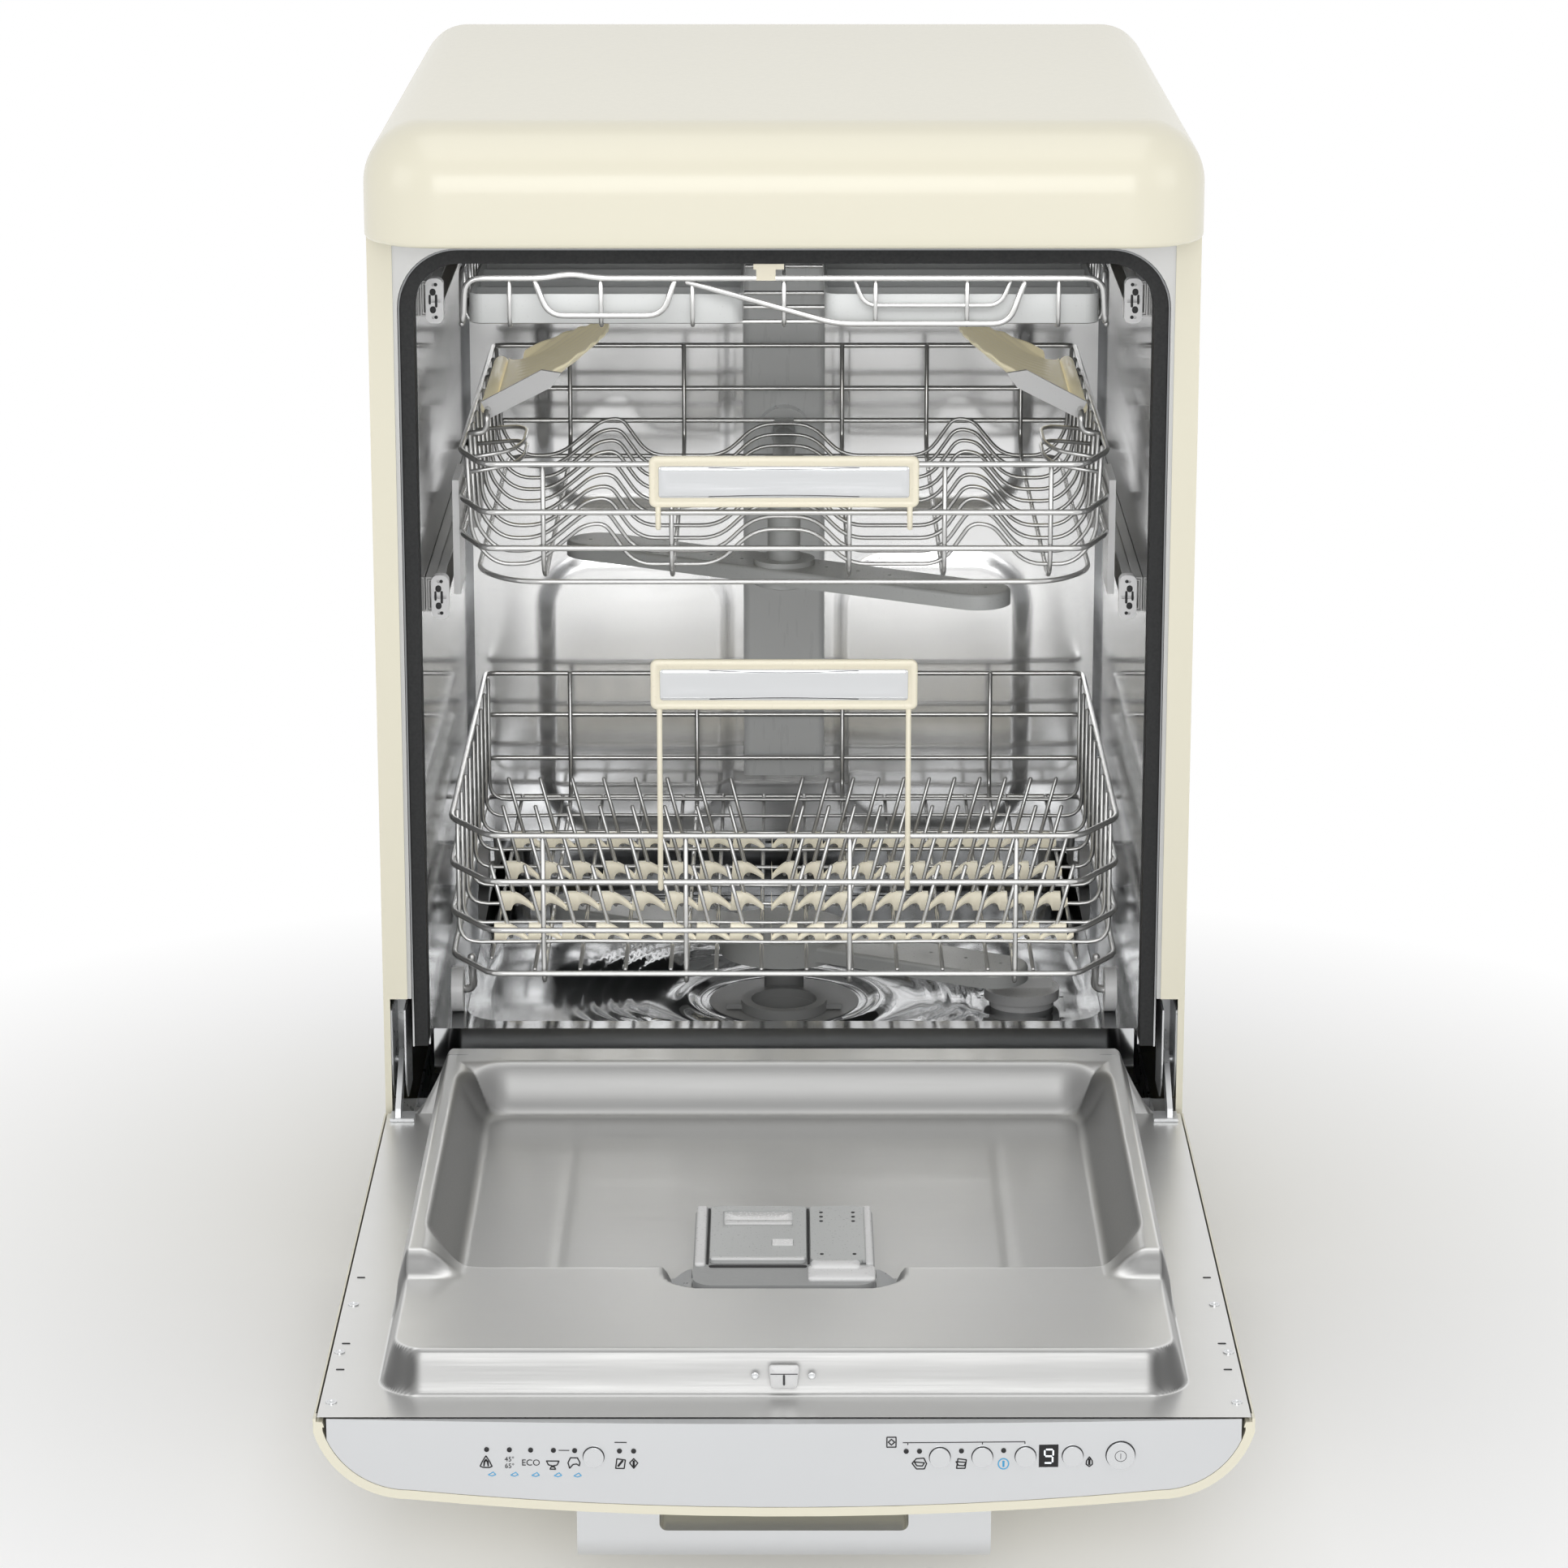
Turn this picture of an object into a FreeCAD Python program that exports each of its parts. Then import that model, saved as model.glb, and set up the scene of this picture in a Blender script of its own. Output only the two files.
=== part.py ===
import FreeCAD, Part
import math
import os
import Sketcher

# Free-standing retro dishwasher, drawn with its door open and its racks in.
# Millimetres. +Z up, +X to the right of someone facing it, +Y to its back, Y = 0 the cabinet's front edge,
# Z = 0 the floor. Every size is named once in SIZES and kept in the spreadsheet called Sizes.

SIZES = {
    # cabinet
    "cabinet_width": 598, "cabinet_depth": 600, "cabinet_height": 885, "sheet": 1.2, "side_sheet": 1.0,
    "side_return": 18, "side_bottom": 20, "cover_width": 600, "cover_overhang": 62, "cover_drop": 85,
    "cover_corner": 58, "cover_round": 48, "cover_wall": 2.5, "seat": 0.3, "plinth_height": 97,
    "plinth_wall": 2, "foot_radius": 20, "foot_height": 8, "foot_stem_radius": 5, "foot_inset": 60,
    # tub and its opening
    "tub_half": 266, "tub_top": 778, "tub_floor": 140, "tub_corner": 33, "tub_inner_corner": 12,
    "tub_front": 24, "tub_back": 558, "sill_front": 58, "sill_top": 184, "ledge_width": 23, "gasket_face": 10.5, "gasket_depth": 18,
    "gasket_bottom": 188, "frame_bottom": 226, "sump_radius": 60, "sump_y": 262, "sump_depth": 66,
    # door
    "pivot_y": 30, "pivot_z": 169, "pin_radius": 3, "pin_fit": 0.08, "door_half": 299.5, "flange_top": 138,
    "fold_y": -590, "end_bow": 9, "skin_bottom": 74, "skin_rim": 6, "skin_wall": 1.2, "skin_hinge_end": -4,
    "liner_half": 262, "liner_back": 10, "rail_top": 184, "plateau_top": 167, "pan_floor": 148,
    "rail_width": 18, "rail_front": -410, "plateau_front": -545, "step_front": -558, "pan_back": -17,
    "pan_front": -402, "pan_slope": 22, "tail_half": 278, "tail_back": 34, "tail_bottom": 102,
    "handle_half": 133, "handle_bottom": 31, "handle_front": -576, "handle_back": -531, "handle_slot": 80,
    # controls
    "button_radius": 6.5, "power_radius": 9, "button_gap": 0.25, "button_travel": 1.2, "button_proud": 2,
    "button_z": 114.3, "display_width": 12, "display_height": 15, "board_width": 360, "board_height": 34,
    "board_thick": 1.6,
    # dispenser
    "dispenser_half": 61, "dispenser_back": -285, "dispenser_front": -434, "dispenser_top": 167,
    "dispenser_bottom": 126, "lid_thick": 2.4, "lid_gap": 0.3,
    # racks
    "rack_front": 38, "rack_travel": 480, "rim_wire": 2.25, "fine_wire": 1.6, "rack_front_half": 221,
    "lower_half": 252, "lower_back": 535, "lower_floor": 234, "upper_half": 240, "upper_back": 520,
    "upper_floor": 534, "chamfer_y": 88, "wheel_radius": 17, "wheel_width": 9, "wheel_track": 250,
    "axle_radius": 3, "axle_fit": 0.1, "tray_half": 236, "tray_travel": 400, "tray_z": 761,
    "upper_rail_z": 522, "tray_rail_z": 743.5, "rail_height": 26, "rail_length": 480, "rail_front_y": 60,
    "rack_handle_half": 99, "rack_handle_height": 38, "rack_handle_thick": 5,
    # water
    "lower_arm_z": 176, "lower_arm_half": 214, "upper_arm_z": 488, "upper_arm_half": 196, "arm_height": 12,
    "arm_width": 52, "top_arm_z": 766, "top_arm_half": 82, "duct_half": 34, "hub_radius": 13,
    "pipe_radius": 9, "spindle_radius": 9, "pipe_z": 549, "arm_y": 262,
}

doc = FreeCAD.newDocument("dishwasher")
sheet = doc.addObject("Spreadsheet::Sheet", "Sizes")
for row, (alias, value) in enumerate(SIZES.items(), start=1):
    sheet.set("A%d" % row, alias)
    sheet.set("B%d" % row, str(value))
    sheet.setAlias("B%d" % row, alias)
doc.recompute()

parts = []


def size(name):
    """The spreadsheet's value for one named size."""
    return float(sheet.get(name))


def point(x, y, z):
    return FreeCAD.Vector(x, y, z)


def box(x0, x1, y0, y1, z0, z1):
    """A box between two corners."""
    return Part.makeBox(x1 - x0, y1 - y0, z1 - z0, point(x0, y0, z0))


def rod(start, end, radius):
    """A round bar from one point to another."""
    line = point(*end) - point(*start)
    return Part.makeCylinder(radius, line.Length, point(*start), line)


def fused(shapes):
    """One solid made of several that cross."""
    whole = shapes[0].multiFuse(shapes[1:])
    return whole.removeSplitter()


def mirrored(shape):
    return shape.mirror(point(0, 0, 0), point(1, 0, 0))


def both(shape):
    """A shape and its twin on the other side of the machine."""
    return [shape, mirrored(shape)]


def rounded(x0, x1, z0, z1, y0, y1, radius):
    """A block seen from the front as a rectangle with round corners."""
    block = box(x0, x1, y0, y1, z0, z1)
    along = [e for e in block.Edges if abs(e.tangentAt(e.FirstParameter).y) > 0.99]
    return block.makeFillet(radius, along)


def upright(x0, x1, y0, y1, z0, z1, radius):
    """A block seen from above as a rectangle with round corners."""
    block = box(x0, x1, y0, y1, z0, z1)
    along = [e for e in block.Edges if abs(e.tangentAt(e.FirstParameter).z) > 0.99]
    return block.makeFillet(radius, along)


def side_prism(profile, x0, x1):
    """A (y, z) outline carried from x0 to x1."""
    corners = [point(x0, y, z) for y, z in profile]
    face = Part.Face(Part.makePolygon(corners + corners[:1]))
    return face.extrude(point(x1 - x0, 0, 0))


def frustum(low, high):
    """A straight-sided pocket between two level rectangles, each (x0, x1, y0, y1, z)."""
    wires = []
    for x0, x1, y0, y1, z in (low, high):
        corners = [point(x0, y0, z), point(x1, y0, z), point(x1, y1, z), point(x0, y1, z)]
        wires.append(Part.makePolygon(corners + corners[:1]))
    return Part.makeLoft(wires, True, True)


def keep(label, shapes, place=None):
    """A sub-part from one shape or several, moved to its place if it was drawn at the origin."""
    shapes = shapes if isinstance(shapes, list) else [shapes]
    feature = doc.addObject("Part::Feature", label)
    feature.Label = label
    feature.Shape = shapes[0] if len(shapes) == 1 else Part.makeCompound(shapes)
    feature.Placement = place or FreeCAD.Placement()
    parts.append(feature)
    return feature


def plane_of(body, role):
    """One of the body's own origin planes."""
    return [f for f in body.Origin.OriginFeatures if f.Role == role][0]


def new_body(label, place=None):
    """An empty body that goes at the given place."""
    body = doc.addObject("PartDesign::Body", label)
    body.Label = label
    body.Placement = place or FreeCAD.Placement()
    parts.append(body)
    return body


def sketch_on(body, role, name):
    sketch = body.newObject("Sketcher::SketchObject", body.Label + "_" + name)
    sketch.AttachmentSupport = [(plane_of(body, role), "")]
    sketch.MapMode = "FlatFace"
    return sketch


def add_rectangle(sketch, width, height):
    """A rectangle about the origin whose two sizes are spreadsheet expressions."""
    corners = [(-1, -1), (1, -1), (1, 1), (-1, 1)]
    for i in range(4):
        start = point(corners[i][0] * 10, corners[i][1] * 10, 0)
        end = point(corners[(i + 1) % 4][0] * 10, corners[(i + 1) % 4][1] * 10, 0)
        sketch.addGeometry(Part.LineSegment(start, end), False)
    for i in range(4):
        sketch.addConstraint(Sketcher.Constraint("Coincident", i, 2, (i + 1) % 4, 1))
    for i in (0, 2):
        sketch.addConstraint(Sketcher.Constraint("Horizontal", i))
    for i in (1, 3):
        sketch.addConstraint(Sketcher.Constraint("Vertical", i))
    sketch.addConstraint(Sketcher.Constraint("Symmetric", 0, 1, 2, 1, -1, 1))
    wide = sketch.addConstraint(Sketcher.Constraint("DistanceX", 0, 1, 0, 2, 20))
    high = sketch.addConstraint(Sketcher.Constraint("DistanceY", 1, 1, 1, 2, 20))
    sketch.setExpression("Constraints[%d]" % wide, width)
    sketch.setExpression("Constraints[%d]" % high, height)


def add_circle(sketch, radius):
    """A circle about the origin whose radius is a spreadsheet expression."""
    sketch.addGeometry(Part.Circle(point(0, 0, 0), point(0, 0, 1), 5), False)
    sketch.addConstraint(Sketcher.Constraint("Coincident", 0, 3, -1, 1))
    bound = sketch.addConstraint(Sketcher.Constraint("Radius", 0, 5))
    sketch.setExpression("Constraints[%d]" % bound, radius)


def pad(body, sketch, length, middle=False):
    """The sketch made solid over a length given as an expression."""
    feature = body.newObject("PartDesign::Pad", body.Label + "_pad")
    feature.Profile = sketch
    feature.setExpression("Length", length)
    feature.Midplane = middle
    doc.recompute()
    return feature


def plate(label, role, width, height, thick, place):
    """A flat rectangular body centred on its own origin."""
    body = new_body(label, place)
    sketch = sketch_on(body, role, "outline")
    add_rectangle(sketch, width, height)
    pad(body, sketch, thick, True)
    return body


# ---------------------------------------------------------------- cabinet

def side_panel(label, sign):
    """One side sheet with a return along its front edge, notched for the hinge."""
    body = new_body(label, FreeCAD.Placement(point(0, 0, size("side_bottom")), FreeCAD.Rotation()))
    sketch = sketch_on(body, "XY_Plane", "plan")
    outer = sign * size("cabinet_width") / 2
    inner = outer - sign * size("side_return")
    skin = outer - sign * size("side_sheet")
    plan = [(outer, 0), (inner, 0), (inner, size("side_sheet")), (skin, size("side_sheet")),
            (skin, size("cabinet_depth")), (outer, size("cabinet_depth"))]
    for i, (x, y) in enumerate(plan):
        end = plan[(i + 1) % len(plan)]
        sketch.addGeometry(Part.LineSegment(point(x, y, 0), point(end[0], end[1], 0)), False)
    for i in range(len(plan)):
        sketch.addConstraint(Sketcher.Constraint("Coincident", i, 2, (i + 1) % len(plan), 1))
        kind = "Horizontal" if i % 2 == 0 else "Vertical"
        sketch.addConstraint(Sketcher.Constraint(kind, i))
    sketch.addConstraint(Sketcher.Constraint("PointOnObject", 0, 1, -1))
    half = sketch.addConstraint(Sketcher.Constraint("DistanceX", -1, 1, 0, 1, outer))
    sketch.setExpression("Constraints[%d]" % half, "%d * Sizes.cabinet_width / 2" % sign)
    wide = sketch.addConstraint(Sketcher.Constraint("Distance", 0, size("side_return")))
    sketch.setExpression("Constraints[%d]" % wide, "Sizes.side_return")
    for edge in (1, 4):
        bound = sketch.addConstraint(Sketcher.Constraint("Distance", edge, size("side_sheet")))
        sketch.setExpression("Constraints[%d]" % bound, "Sizes.side_sheet")
    deep = sketch.addConstraint(Sketcher.Constraint("Distance", 5, size("cabinet_depth")))
    sketch.setExpression("Constraints[%d]" % deep, "Sizes.cabinet_depth")
    pad(body, sketch, "Sizes.cabinet_height - Sizes.cover_drop - Sizes.seat - Sizes.side_bottom")
    notch = sketch_on(body, "XZ_Plane", "hinge_notch")
    low = size("flange_top") - size("side_bottom") - 8
    high = size("frame_bottom") - size("side_bottom")
    near = inner - sign
    far = outer - sign * 5
    corners = [(near, low), (far, low), (far, high), (near, high)]
    for i, (x, z) in enumerate(corners):
        end = corners[(i + 1) % 4]
        notch.addGeometry(Part.LineSegment(point(x, z, 0), point(end[0], end[1], 0)), False)
    for i in range(4):
        notch.addConstraint(Sketcher.Constraint("Coincident", i, 2, (i + 1) % 4, 1))
        notch.addConstraint(Sketcher.Constraint("Block", i))
    pocket = body.newObject("PartDesign::Pocket", body.Label + "_notch")
    pocket.Profile = notch
    pocket.Length = 4
    pocket.Midplane = True
    doc.recompute()
    return body


def cover_block(inset):
    """The rounded cover's outside, or its inside when inset by the wall."""
    half = size("cover_width") / 2 - inset
    front = inset - size("cover_overhang")
    back = size("cabinet_depth") - inset
    bottom = size("cabinet_height") - size("cover_drop")
    top = size("cabinet_height") - inset
    block = box(-half, half, front, back, bottom, top)
    corners = [e for e in block.Edges if abs(e.tangentAt(e.FirstParameter).z) > 0.99]
    corners = [e for e in corners if e.CenterOfMass.y < 0]
    block = block.makeFillet(size("cover_corner") - inset, corners)
    rims = [e for e in block.Edges if abs(e.CenterOfMass.z - top) < 0.01 and e.CenterOfMass.y < back - 1]
    return block.makeFillet(size("cover_round") - inset, rims)


def top_cover():
    """The domed lid that overhangs the door."""
    keep("top_cover", cover_block(0).cut(cover_block(size("cover_wall"))))


def back_panel():
    """The flat sheet that closes the back, with the water, drain and cord holes."""
    height = size("cabinet_height") - size("cover_drop") - size("seat") - size("side_bottom")
    middle = size("side_bottom") + height / 2
    place = FreeCAD.Placement(point(0, size("cabinet_depth") - 1.5, middle), FreeCAD.Rotation())
    wide = "Sizes.cabinet_width - 2 * Sizes.side_sheet - 2 * Sizes.seat"
    tall = "Sizes.cabinet_height - Sizes.cover_drop - Sizes.seat - Sizes.side_bottom"
    body = plate("back_panel", "XZ_Plane", wide, tall, "Sizes.side_sheet", place)
    holes = sketch_on(body, "XZ_Plane", "holes")
    for i, (x, z, radius) in enumerate(((-220, 70, 12.5), (-170, 70, 12.5), (230, 60, 9.5))):
        holes.addGeometry(Part.Circle(point(x, z - middle, 0), point(0, 0, 1), radius), False)
        holes.addConstraint(Sketcher.Constraint("Block", i))
    pocket = body.newObject("PartDesign::Pocket", "back_panel_holes")
    pocket.Profile = holes
    pocket.Length = 10
    pocket.Midplane = True
    doc.recompute()


def base_tray():
    """The drip tray that carries everything, turned up all round."""
    half = size("cabinet_width") / 2 - size("side_sheet") - size("seat")
    back = size("cabinet_depth") - 2.3
    low = size("side_bottom")
    outer = box(-half, half, 44, back, low, 50)
    inner = box(-half + 2, half - 2, 46, back - 2, low + 2, 51)
    front = box(-half + 1, half - 1, 44, 46, low, 132)
    keep("base_tray", fused([outer.cut(inner), front]))


def plinth():
    """The kick panel under the door."""
    half = size("cabinet_width") / 2 - size("side_sheet") - size("seat")
    wall = size("plinth_wall")
    outer = box(-half, half, 1.5, 43.6, 12, size("plinth_height"))
    inner = box(-half + wall, half - wall, 1.5 + wall, 44, 11, size("plinth_height") + 1)
    keep("plinth", outer.cut(inner))


def levelling_feet():
    """Four screw feet."""
    feet = []
    half = size("cabinet_width") / 2 - size("foot_inset")
    for x in (-half, half):
        for y in (75, size("cabinet_depth") - size("foot_inset")):
            pad_shape = rod((x, y, 0), (x, y, size("foot_height")), size("foot_radius"))
            top = size("side_bottom") - size("seat")
            stem = rod((x, y, size("foot_height") - 1), (x, y, top), size("foot_stem_radius"))
            feet.append(fused([pad_shape, stem]))
    keep("levelling_feet", feet)


def tub():
    """The washing chamber: wrapper, back wall, floor pocket, wheel ledges and gasket step."""
    wall = size("sheet")
    half = size("tub_half")
    front, back = size("tub_front"), size("tub_back")
    sill, top, corner = size("sill_top"), size("tub_top"), size("tub_corner")
    bend = size("tub_inner_corner")
    outer = rounded(-half - wall, half + wall, sill - 200, top + wall, front, back + wall, bend + wall)
    inner = rounded(-half, half, sill - 201, top, front - 1, back, bend)
    below = box(-400, 400, -10, 700, -300, sill - wall)
    wrapper = outer.cut(inner).cut(below)
    face = size("gasket_face")
    step_out = rounded(-half - face - wall, half + face + wall, 0, top + face + wall, 3, front, corner + face)
    step_in = rounded(-half - face, half + face, -1, top + face, 2, front - wall, corner + face - wall)
    mouth = rounded(-half, half, -2, top, 2, front + 1, corner)
    under = box(-400, 400, -10, 100, -10, size("gasket_bottom"))
    step = step_out.cut(step_in).cut(mouth).cut(under)
    run = half - size("ledge_width")
    floor = size("tub_floor")
    pocket = upright(-run, run, 76, back - 6, floor, sill + 1, 30)
    pan = upright(-run - wall, run + wall, 76 - wall, back - 6 + wall, floor - wall, sill, 30 + wall)
    ledge = box(-half - wall, half + wall, size("sill_front"), back + wall, sill - wall, sill)
    lip = box(-half, half, size("sill_front"), size("sill_front") + wall, floor + 8, sill)
    whole = fused([wrapper, step, ledge, pan, lip]).cut(pocket)
    sump = rod((0, size("sump_y"), floor - 10), (0, size("sump_y"), floor + 10), size("sump_radius"))
    neck = rod((190, 255, floor - 10), (190, 255, floor + 10), 26)
    feed = box(-24, 24, back - 2, back + 3, 300, 340)
    keep("tub", whole.cut(sump).cut(neck).cut(feed))


def front_frame():
    """The bright frame between the gasket and the side panels."""
    half = size("tub_half") + size("gasket_face") + size("sheet") + size("seat")
    outer_half = size("cabinet_width") / 2 - size("side_sheet") - 2
    top = size("tub_top") + size("gasket_face") + size("sheet") + size("seat")
    outer = box(-outer_half, outer_half, 1.3, 2.5, size("frame_bottom"), size("cabinet_height") - 87)
    inner = rounded(-half, half, 0, top, 0, 4, size("tub_corner") + size("gasket_face"))
    keep("front_frame", outer.cut(inner))


def door_gasket():
    """The rubber seal round the opening, an upside-down U."""
    half, face = size("tub_half"), size("gasket_face") - size("seat")
    corner, front = size("tub_corner"), size("tub_front") - size("sheet") - size("seat")
    outer = rounded(-half - face, half + face, 0, size("tub_top") + face, front - size("gasket_depth"), front,
                    corner + face - 1)
    inner = rounded(-half - 0.5, half + 0.5, -1, size("tub_top") + 0.5, 0, front + 1, corner)
    below = box(-400, 400, 0, 30, -10, size("gasket_bottom"))
    keep("door_gasket", outer.cut(inner).cut(below))


def water_duct():
    """The upright duct on the back wall with the docking mouth for the upper spray pipe."""
    half, back = size("duct_half"), size("tub_back") - size("seat")
    column = upright(-half, half, back - 14, back, 250, size("tub_top") - size("seat"), 6)
    mouth = rod((0, back - 30, size("pipe_z")), (0, back - 13, size("pipe_z")), 22)
    bore = rod((0, back - 31, size("pipe_z")), (0, back - 4, size("pipe_z")), size("pipe_radius") + 2)
    roof = box(-12, 12, size("arm_y") - 14, back - 13, size("tub_top") - 2.5, size("tub_top") - size("seat"))
    arm_z = size("top_arm_z") - 16
    spindle = rod((0, size("arm_y"), arm_z - 7), (0, size("arm_y"), size("tub_top") - 2), 4)
    disc = rod((0, size("arm_y"), arm_z - 7), (0, size("arm_y"), arm_z - 4.4), 8)
    keep("water_duct", fused([column, mouth, roof, spindle, disc]).cut(bore))


def rail_pair(height, back):
    """A channel on each tub wall that opens towards the middle."""
    wall = size("tub_half") - size("seat")
    half = size("rail_height") / 2
    outer = box(wall - 7, wall, size("rail_front_y"), back, height - half, height + half)
    inner = box(wall - 8, wall - 1.2, size("rail_front_y") - 1, back + 1, height - half + 1.2,
                height + half - 1.2)
    return both(outer.cut(inner))


def runner_pair(height, back):
    """The sliding channel inside each wall channel."""
    out = size("tub_half") - size("seat") - 1.2 - 0.4
    half = size("rail_height") / 2 - 1.2 - 0.4
    outer = box(out - 12, out, size("rail_front_y"), back, height - half, height + half)
    inner = box(out - 13, out - 1.2, size("rail_front_y") - 1, back + 1, height - half + 1.2,
                height + half - 1.2)
    return both(outer.cut(inner))


def cap_pair(height):
    """The rounded end cap on the front of each sliding channel."""
    front = size("rail_front_y") - size("seat")
    middle = size("tub_half") - 11.5
    cap = rounded(middle - 6.5, middle + 6.5, height - 16.5, height + 16.5, front - 9, front, 5)
    for dz, radius in ((12, 1.2), (6, 1.9), (-6, 1.9), (-12, 1.2)):
        cap = cap.cut(rod((middle + 1, front - 10, height + dz), (middle + 1, front - 7, height + dz), radius))
    slot = box(middle - 4.5, middle + 4.5, front - 10, front - 7, height - 1.2, height + 1.2)
    return both(cap.cut(slot))


def glide_pair(height, half, places):
    """Slides fixed to a rack's side that run in the sliding channel."""
    out = size("tub_half") - size("seat") - 1.2 - 0.4 - 1.2 - 0.4
    tall = size("rail_height") / 2 - 1.2 - 0.4 - 1.2 - 0.3
    shapes = []
    for y in places:
        shapes += both(box(half, out, y, y + 34, height - tall, height + tall))
    return shapes


def back_rails():
    """Both levels of slide rails and everything that telescopes on them."""
    back = size("rail_front_y") + size("rail_length")
    keep("wall_rails", rail_pair(size("upper_rail_z"), back) + rail_pair(size("tray_rail_z"), back))
    keep("upper_runners", runner_pair(size("upper_rail_z"), back))
    keep("upper_rail_caps", cap_pair(size("upper_rail_z")))
    keep("tray_runners", runner_pair(size("tray_rail_z"), back))
    keep("tray_rail_caps", cap_pair(size("tray_rail_z")))


# ---------------------------------------------------------------- water works

def sump():
    """The basin under the filter, with a rim that seats under the tub floor."""
    y, top = size("sump_y"), size("tub_floor") - size("sheet") - size("seat")
    radius, deep = size("sump_radius"), size("sump_depth")
    well = rod((0, y, top - deep), (0, y, top), radius)
    outer = fused([well, rod((0, y, top - 3), (0, y, top), radius + 12)])
    cavity = rod((0, y, top - deep + 3), (0, y, top + 1), radius - 4)
    arm_z = size("lower_arm_z")
    post = rod((0, y + 34, top - deep + 1), (0, y + 34, arm_z - 4.4), 16)
    spindle = rod((0, y + 34, arm_z - 5), (0, y + 34, arm_z + 12), size("spindle_radius"))
    bore = rod((0, y + 34, top - deep + 6), (0, y + 34, arm_z + 13), 6)
    plate_low, plate_top = size("tub_floor") - 0.7, size("tub_floor") + 0.6
    filter_plate = rod((0, y, plate_low), (0, y, plate_top), radius - size("seat"))
    filter_plate = filter_plate.cut(rod((0, y - 22, plate_low - 1), (0, y - 22, plate_top + 1), 27.3))
    keep("sump", fused([outer.cut(cavity), post, spindle, filter_plate]).cut(bore))


def filter_cylinder():
    """The twist-out filter with its ring grip and two ears."""
    y, floor = size("sump_y") - 22, size("tub_floor")
    cup = rod((0, y, floor - 50), (0, y, floor + 2), 27).cut(rod((0, y, floor - 48), (0, y, floor + 3), 25.5))
    ring = rod((0, y, floor + 1), (0, y, floor + 9), 34).cut(rod((0, y, floor), (0, y, floor + 10), 26))
    ears = [box(33, 46, y - 6, y + 6, floor + 2, floor + 6), box(-46, -33, y - 6, y + 6, floor + 2, floor + 6)]
    keep("filter_cylinder", fused([cup, ring] + ears))


def softener():
    """The salt tank beside the sump, with its filling neck through the floor."""
    top = size("tub_floor") - size("sheet") - size("seat")
    tank = upright(120, 250, 180, 330, 40, top, 14)
    neck = rod((190, 255, top - 1), (190, 255, size("tub_floor") + 6), 25)
    bore = rod((190, 255, 60), (190, 255, size("tub_floor") + 8), 21)
    keep("softener", fused([tank, neck]).cut(bore))


def salt_cap():
    """The screw cap on the salt tank, with a grip bar."""
    place = FreeCAD.Placement(point(190, 255, size("tub_floor") + 6 + size("seat")), FreeCAD.Rotation())
    body = new_body("salt_cap", place)
    disc = sketch_on(body, "XY_Plane", "disc")
    add_circle(disc, "Sizes.sump_radius / 2")
    pad(body, disc, "8 mm")
    grip = sketch_on(body, "XY_Plane", "grip")
    add_rectangle(grip, "Sizes.sump_radius * 0.8", "Sizes.foot_height")
    pad(body, grip, "16 mm")


def pumps_and_pipes():
    """The wash pump, drain pump, heater and valve in the base, and the fittings at the back."""
    y, base = size("sump_y"), size("side_bottom") + 2 + size("seat")
    motor = rod((-92, y - 20, 88), (-220, y - 20, 88), 38)
    volute = rod((-74, y - 20, 88), (-94, y - 20, 88), 46)
    foot = box(-210, -120, y - 40, y, base, 60)
    drain = rod((0, y + 76, 84), (0, y + 150, 84), 26)
    drain_foot = box(-18, 18, y + 90, y + 140, base, 70)
    keep("drain_pump", fused([drain, drain_foot]))
    heater = rod((-110, y - 20, 88), (-110, y - 20, 40), 34)
    keep("circulation_pump", fused([motor, volute, foot, heater]))
    rear = size("cabinet_depth")
    valve_body = upright(-245, -195, rear - 90, rear - 40, base, 100, 6)
    inlet = rod((-220, rear - 42, 70), (-220, rear - 0.2, 70), 12)
    fittings = [fused([valve_body, inlet]).cut(rod((-220, rear - 20, 70), (-220, rear, 70), 8))]
    spigot = rod((-170, rear - 60, 70), (-170, rear - 0.2, 70), 12)
    spigot_foot = box(-178, -162, rear - 60, rear - 30, base, 66)
    fittings.append(fused([spigot, spigot_foot]).cut(rod((-170, rear - 61, 70), (-170, rear, 70), 8)))
    gland = rod((230, rear - 40, 60), (230, rear - 0.2, 60), 9)
    gland_foot = box(222, 238, rear - 40, rear - 20, base, 56)
    fittings.append(fused([gland, gland_foot]).cut(rod((230, rear - 41, 60), (230, rear, 60), 4)))
    keep("rear_connections", fittings)


def hinge_brackets():
    """A two-cheeked bracket and its pin on each side."""
    y, z = size("pivot_y"), size("pivot_z")
    cheek = side_prism([(4, z + 4), (4, 216), (60, 216), (60, 142), (22, 142), (9, z - 14)], 283, 284.2)
    far = side_prism([(4, z + 4), (4, 216), (60, 216), (60, 142), (22, 142), (9, z - 14)], 293, 294.2)
    web = box(283, size("cabinet_width") / 2 - size("side_sheet") - size("seat"), 58.8, 60, 142, 216)
    pin = rod((283.5, y, z), (293.5, y, z), size("pin_radius"))
    keep("hinge_brackets", both(fused([cheek, far, web, pin])))


def hinge_arms():
    """The door's steel arms that turn on the pins."""
    y, z, top = size("pivot_y"), size("pivot_z"), size("flange_top") + size("seat")
    arm = side_prism([(y - 6, z + 9), (y + 9, z + 6), (y + 9, z - 8), (-8, top), (-25, top), (-22, top + 9)],
                     286, 290)
    foot = box(276, 294, -26, -8, top, top + 2.5)
    pin = rod((285, y, z), (291, y, z), size("pin_radius") + size("pin_fit"))
    keep("hinge_arms", both(fused([arm, foot]).cut(pin)))


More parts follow.
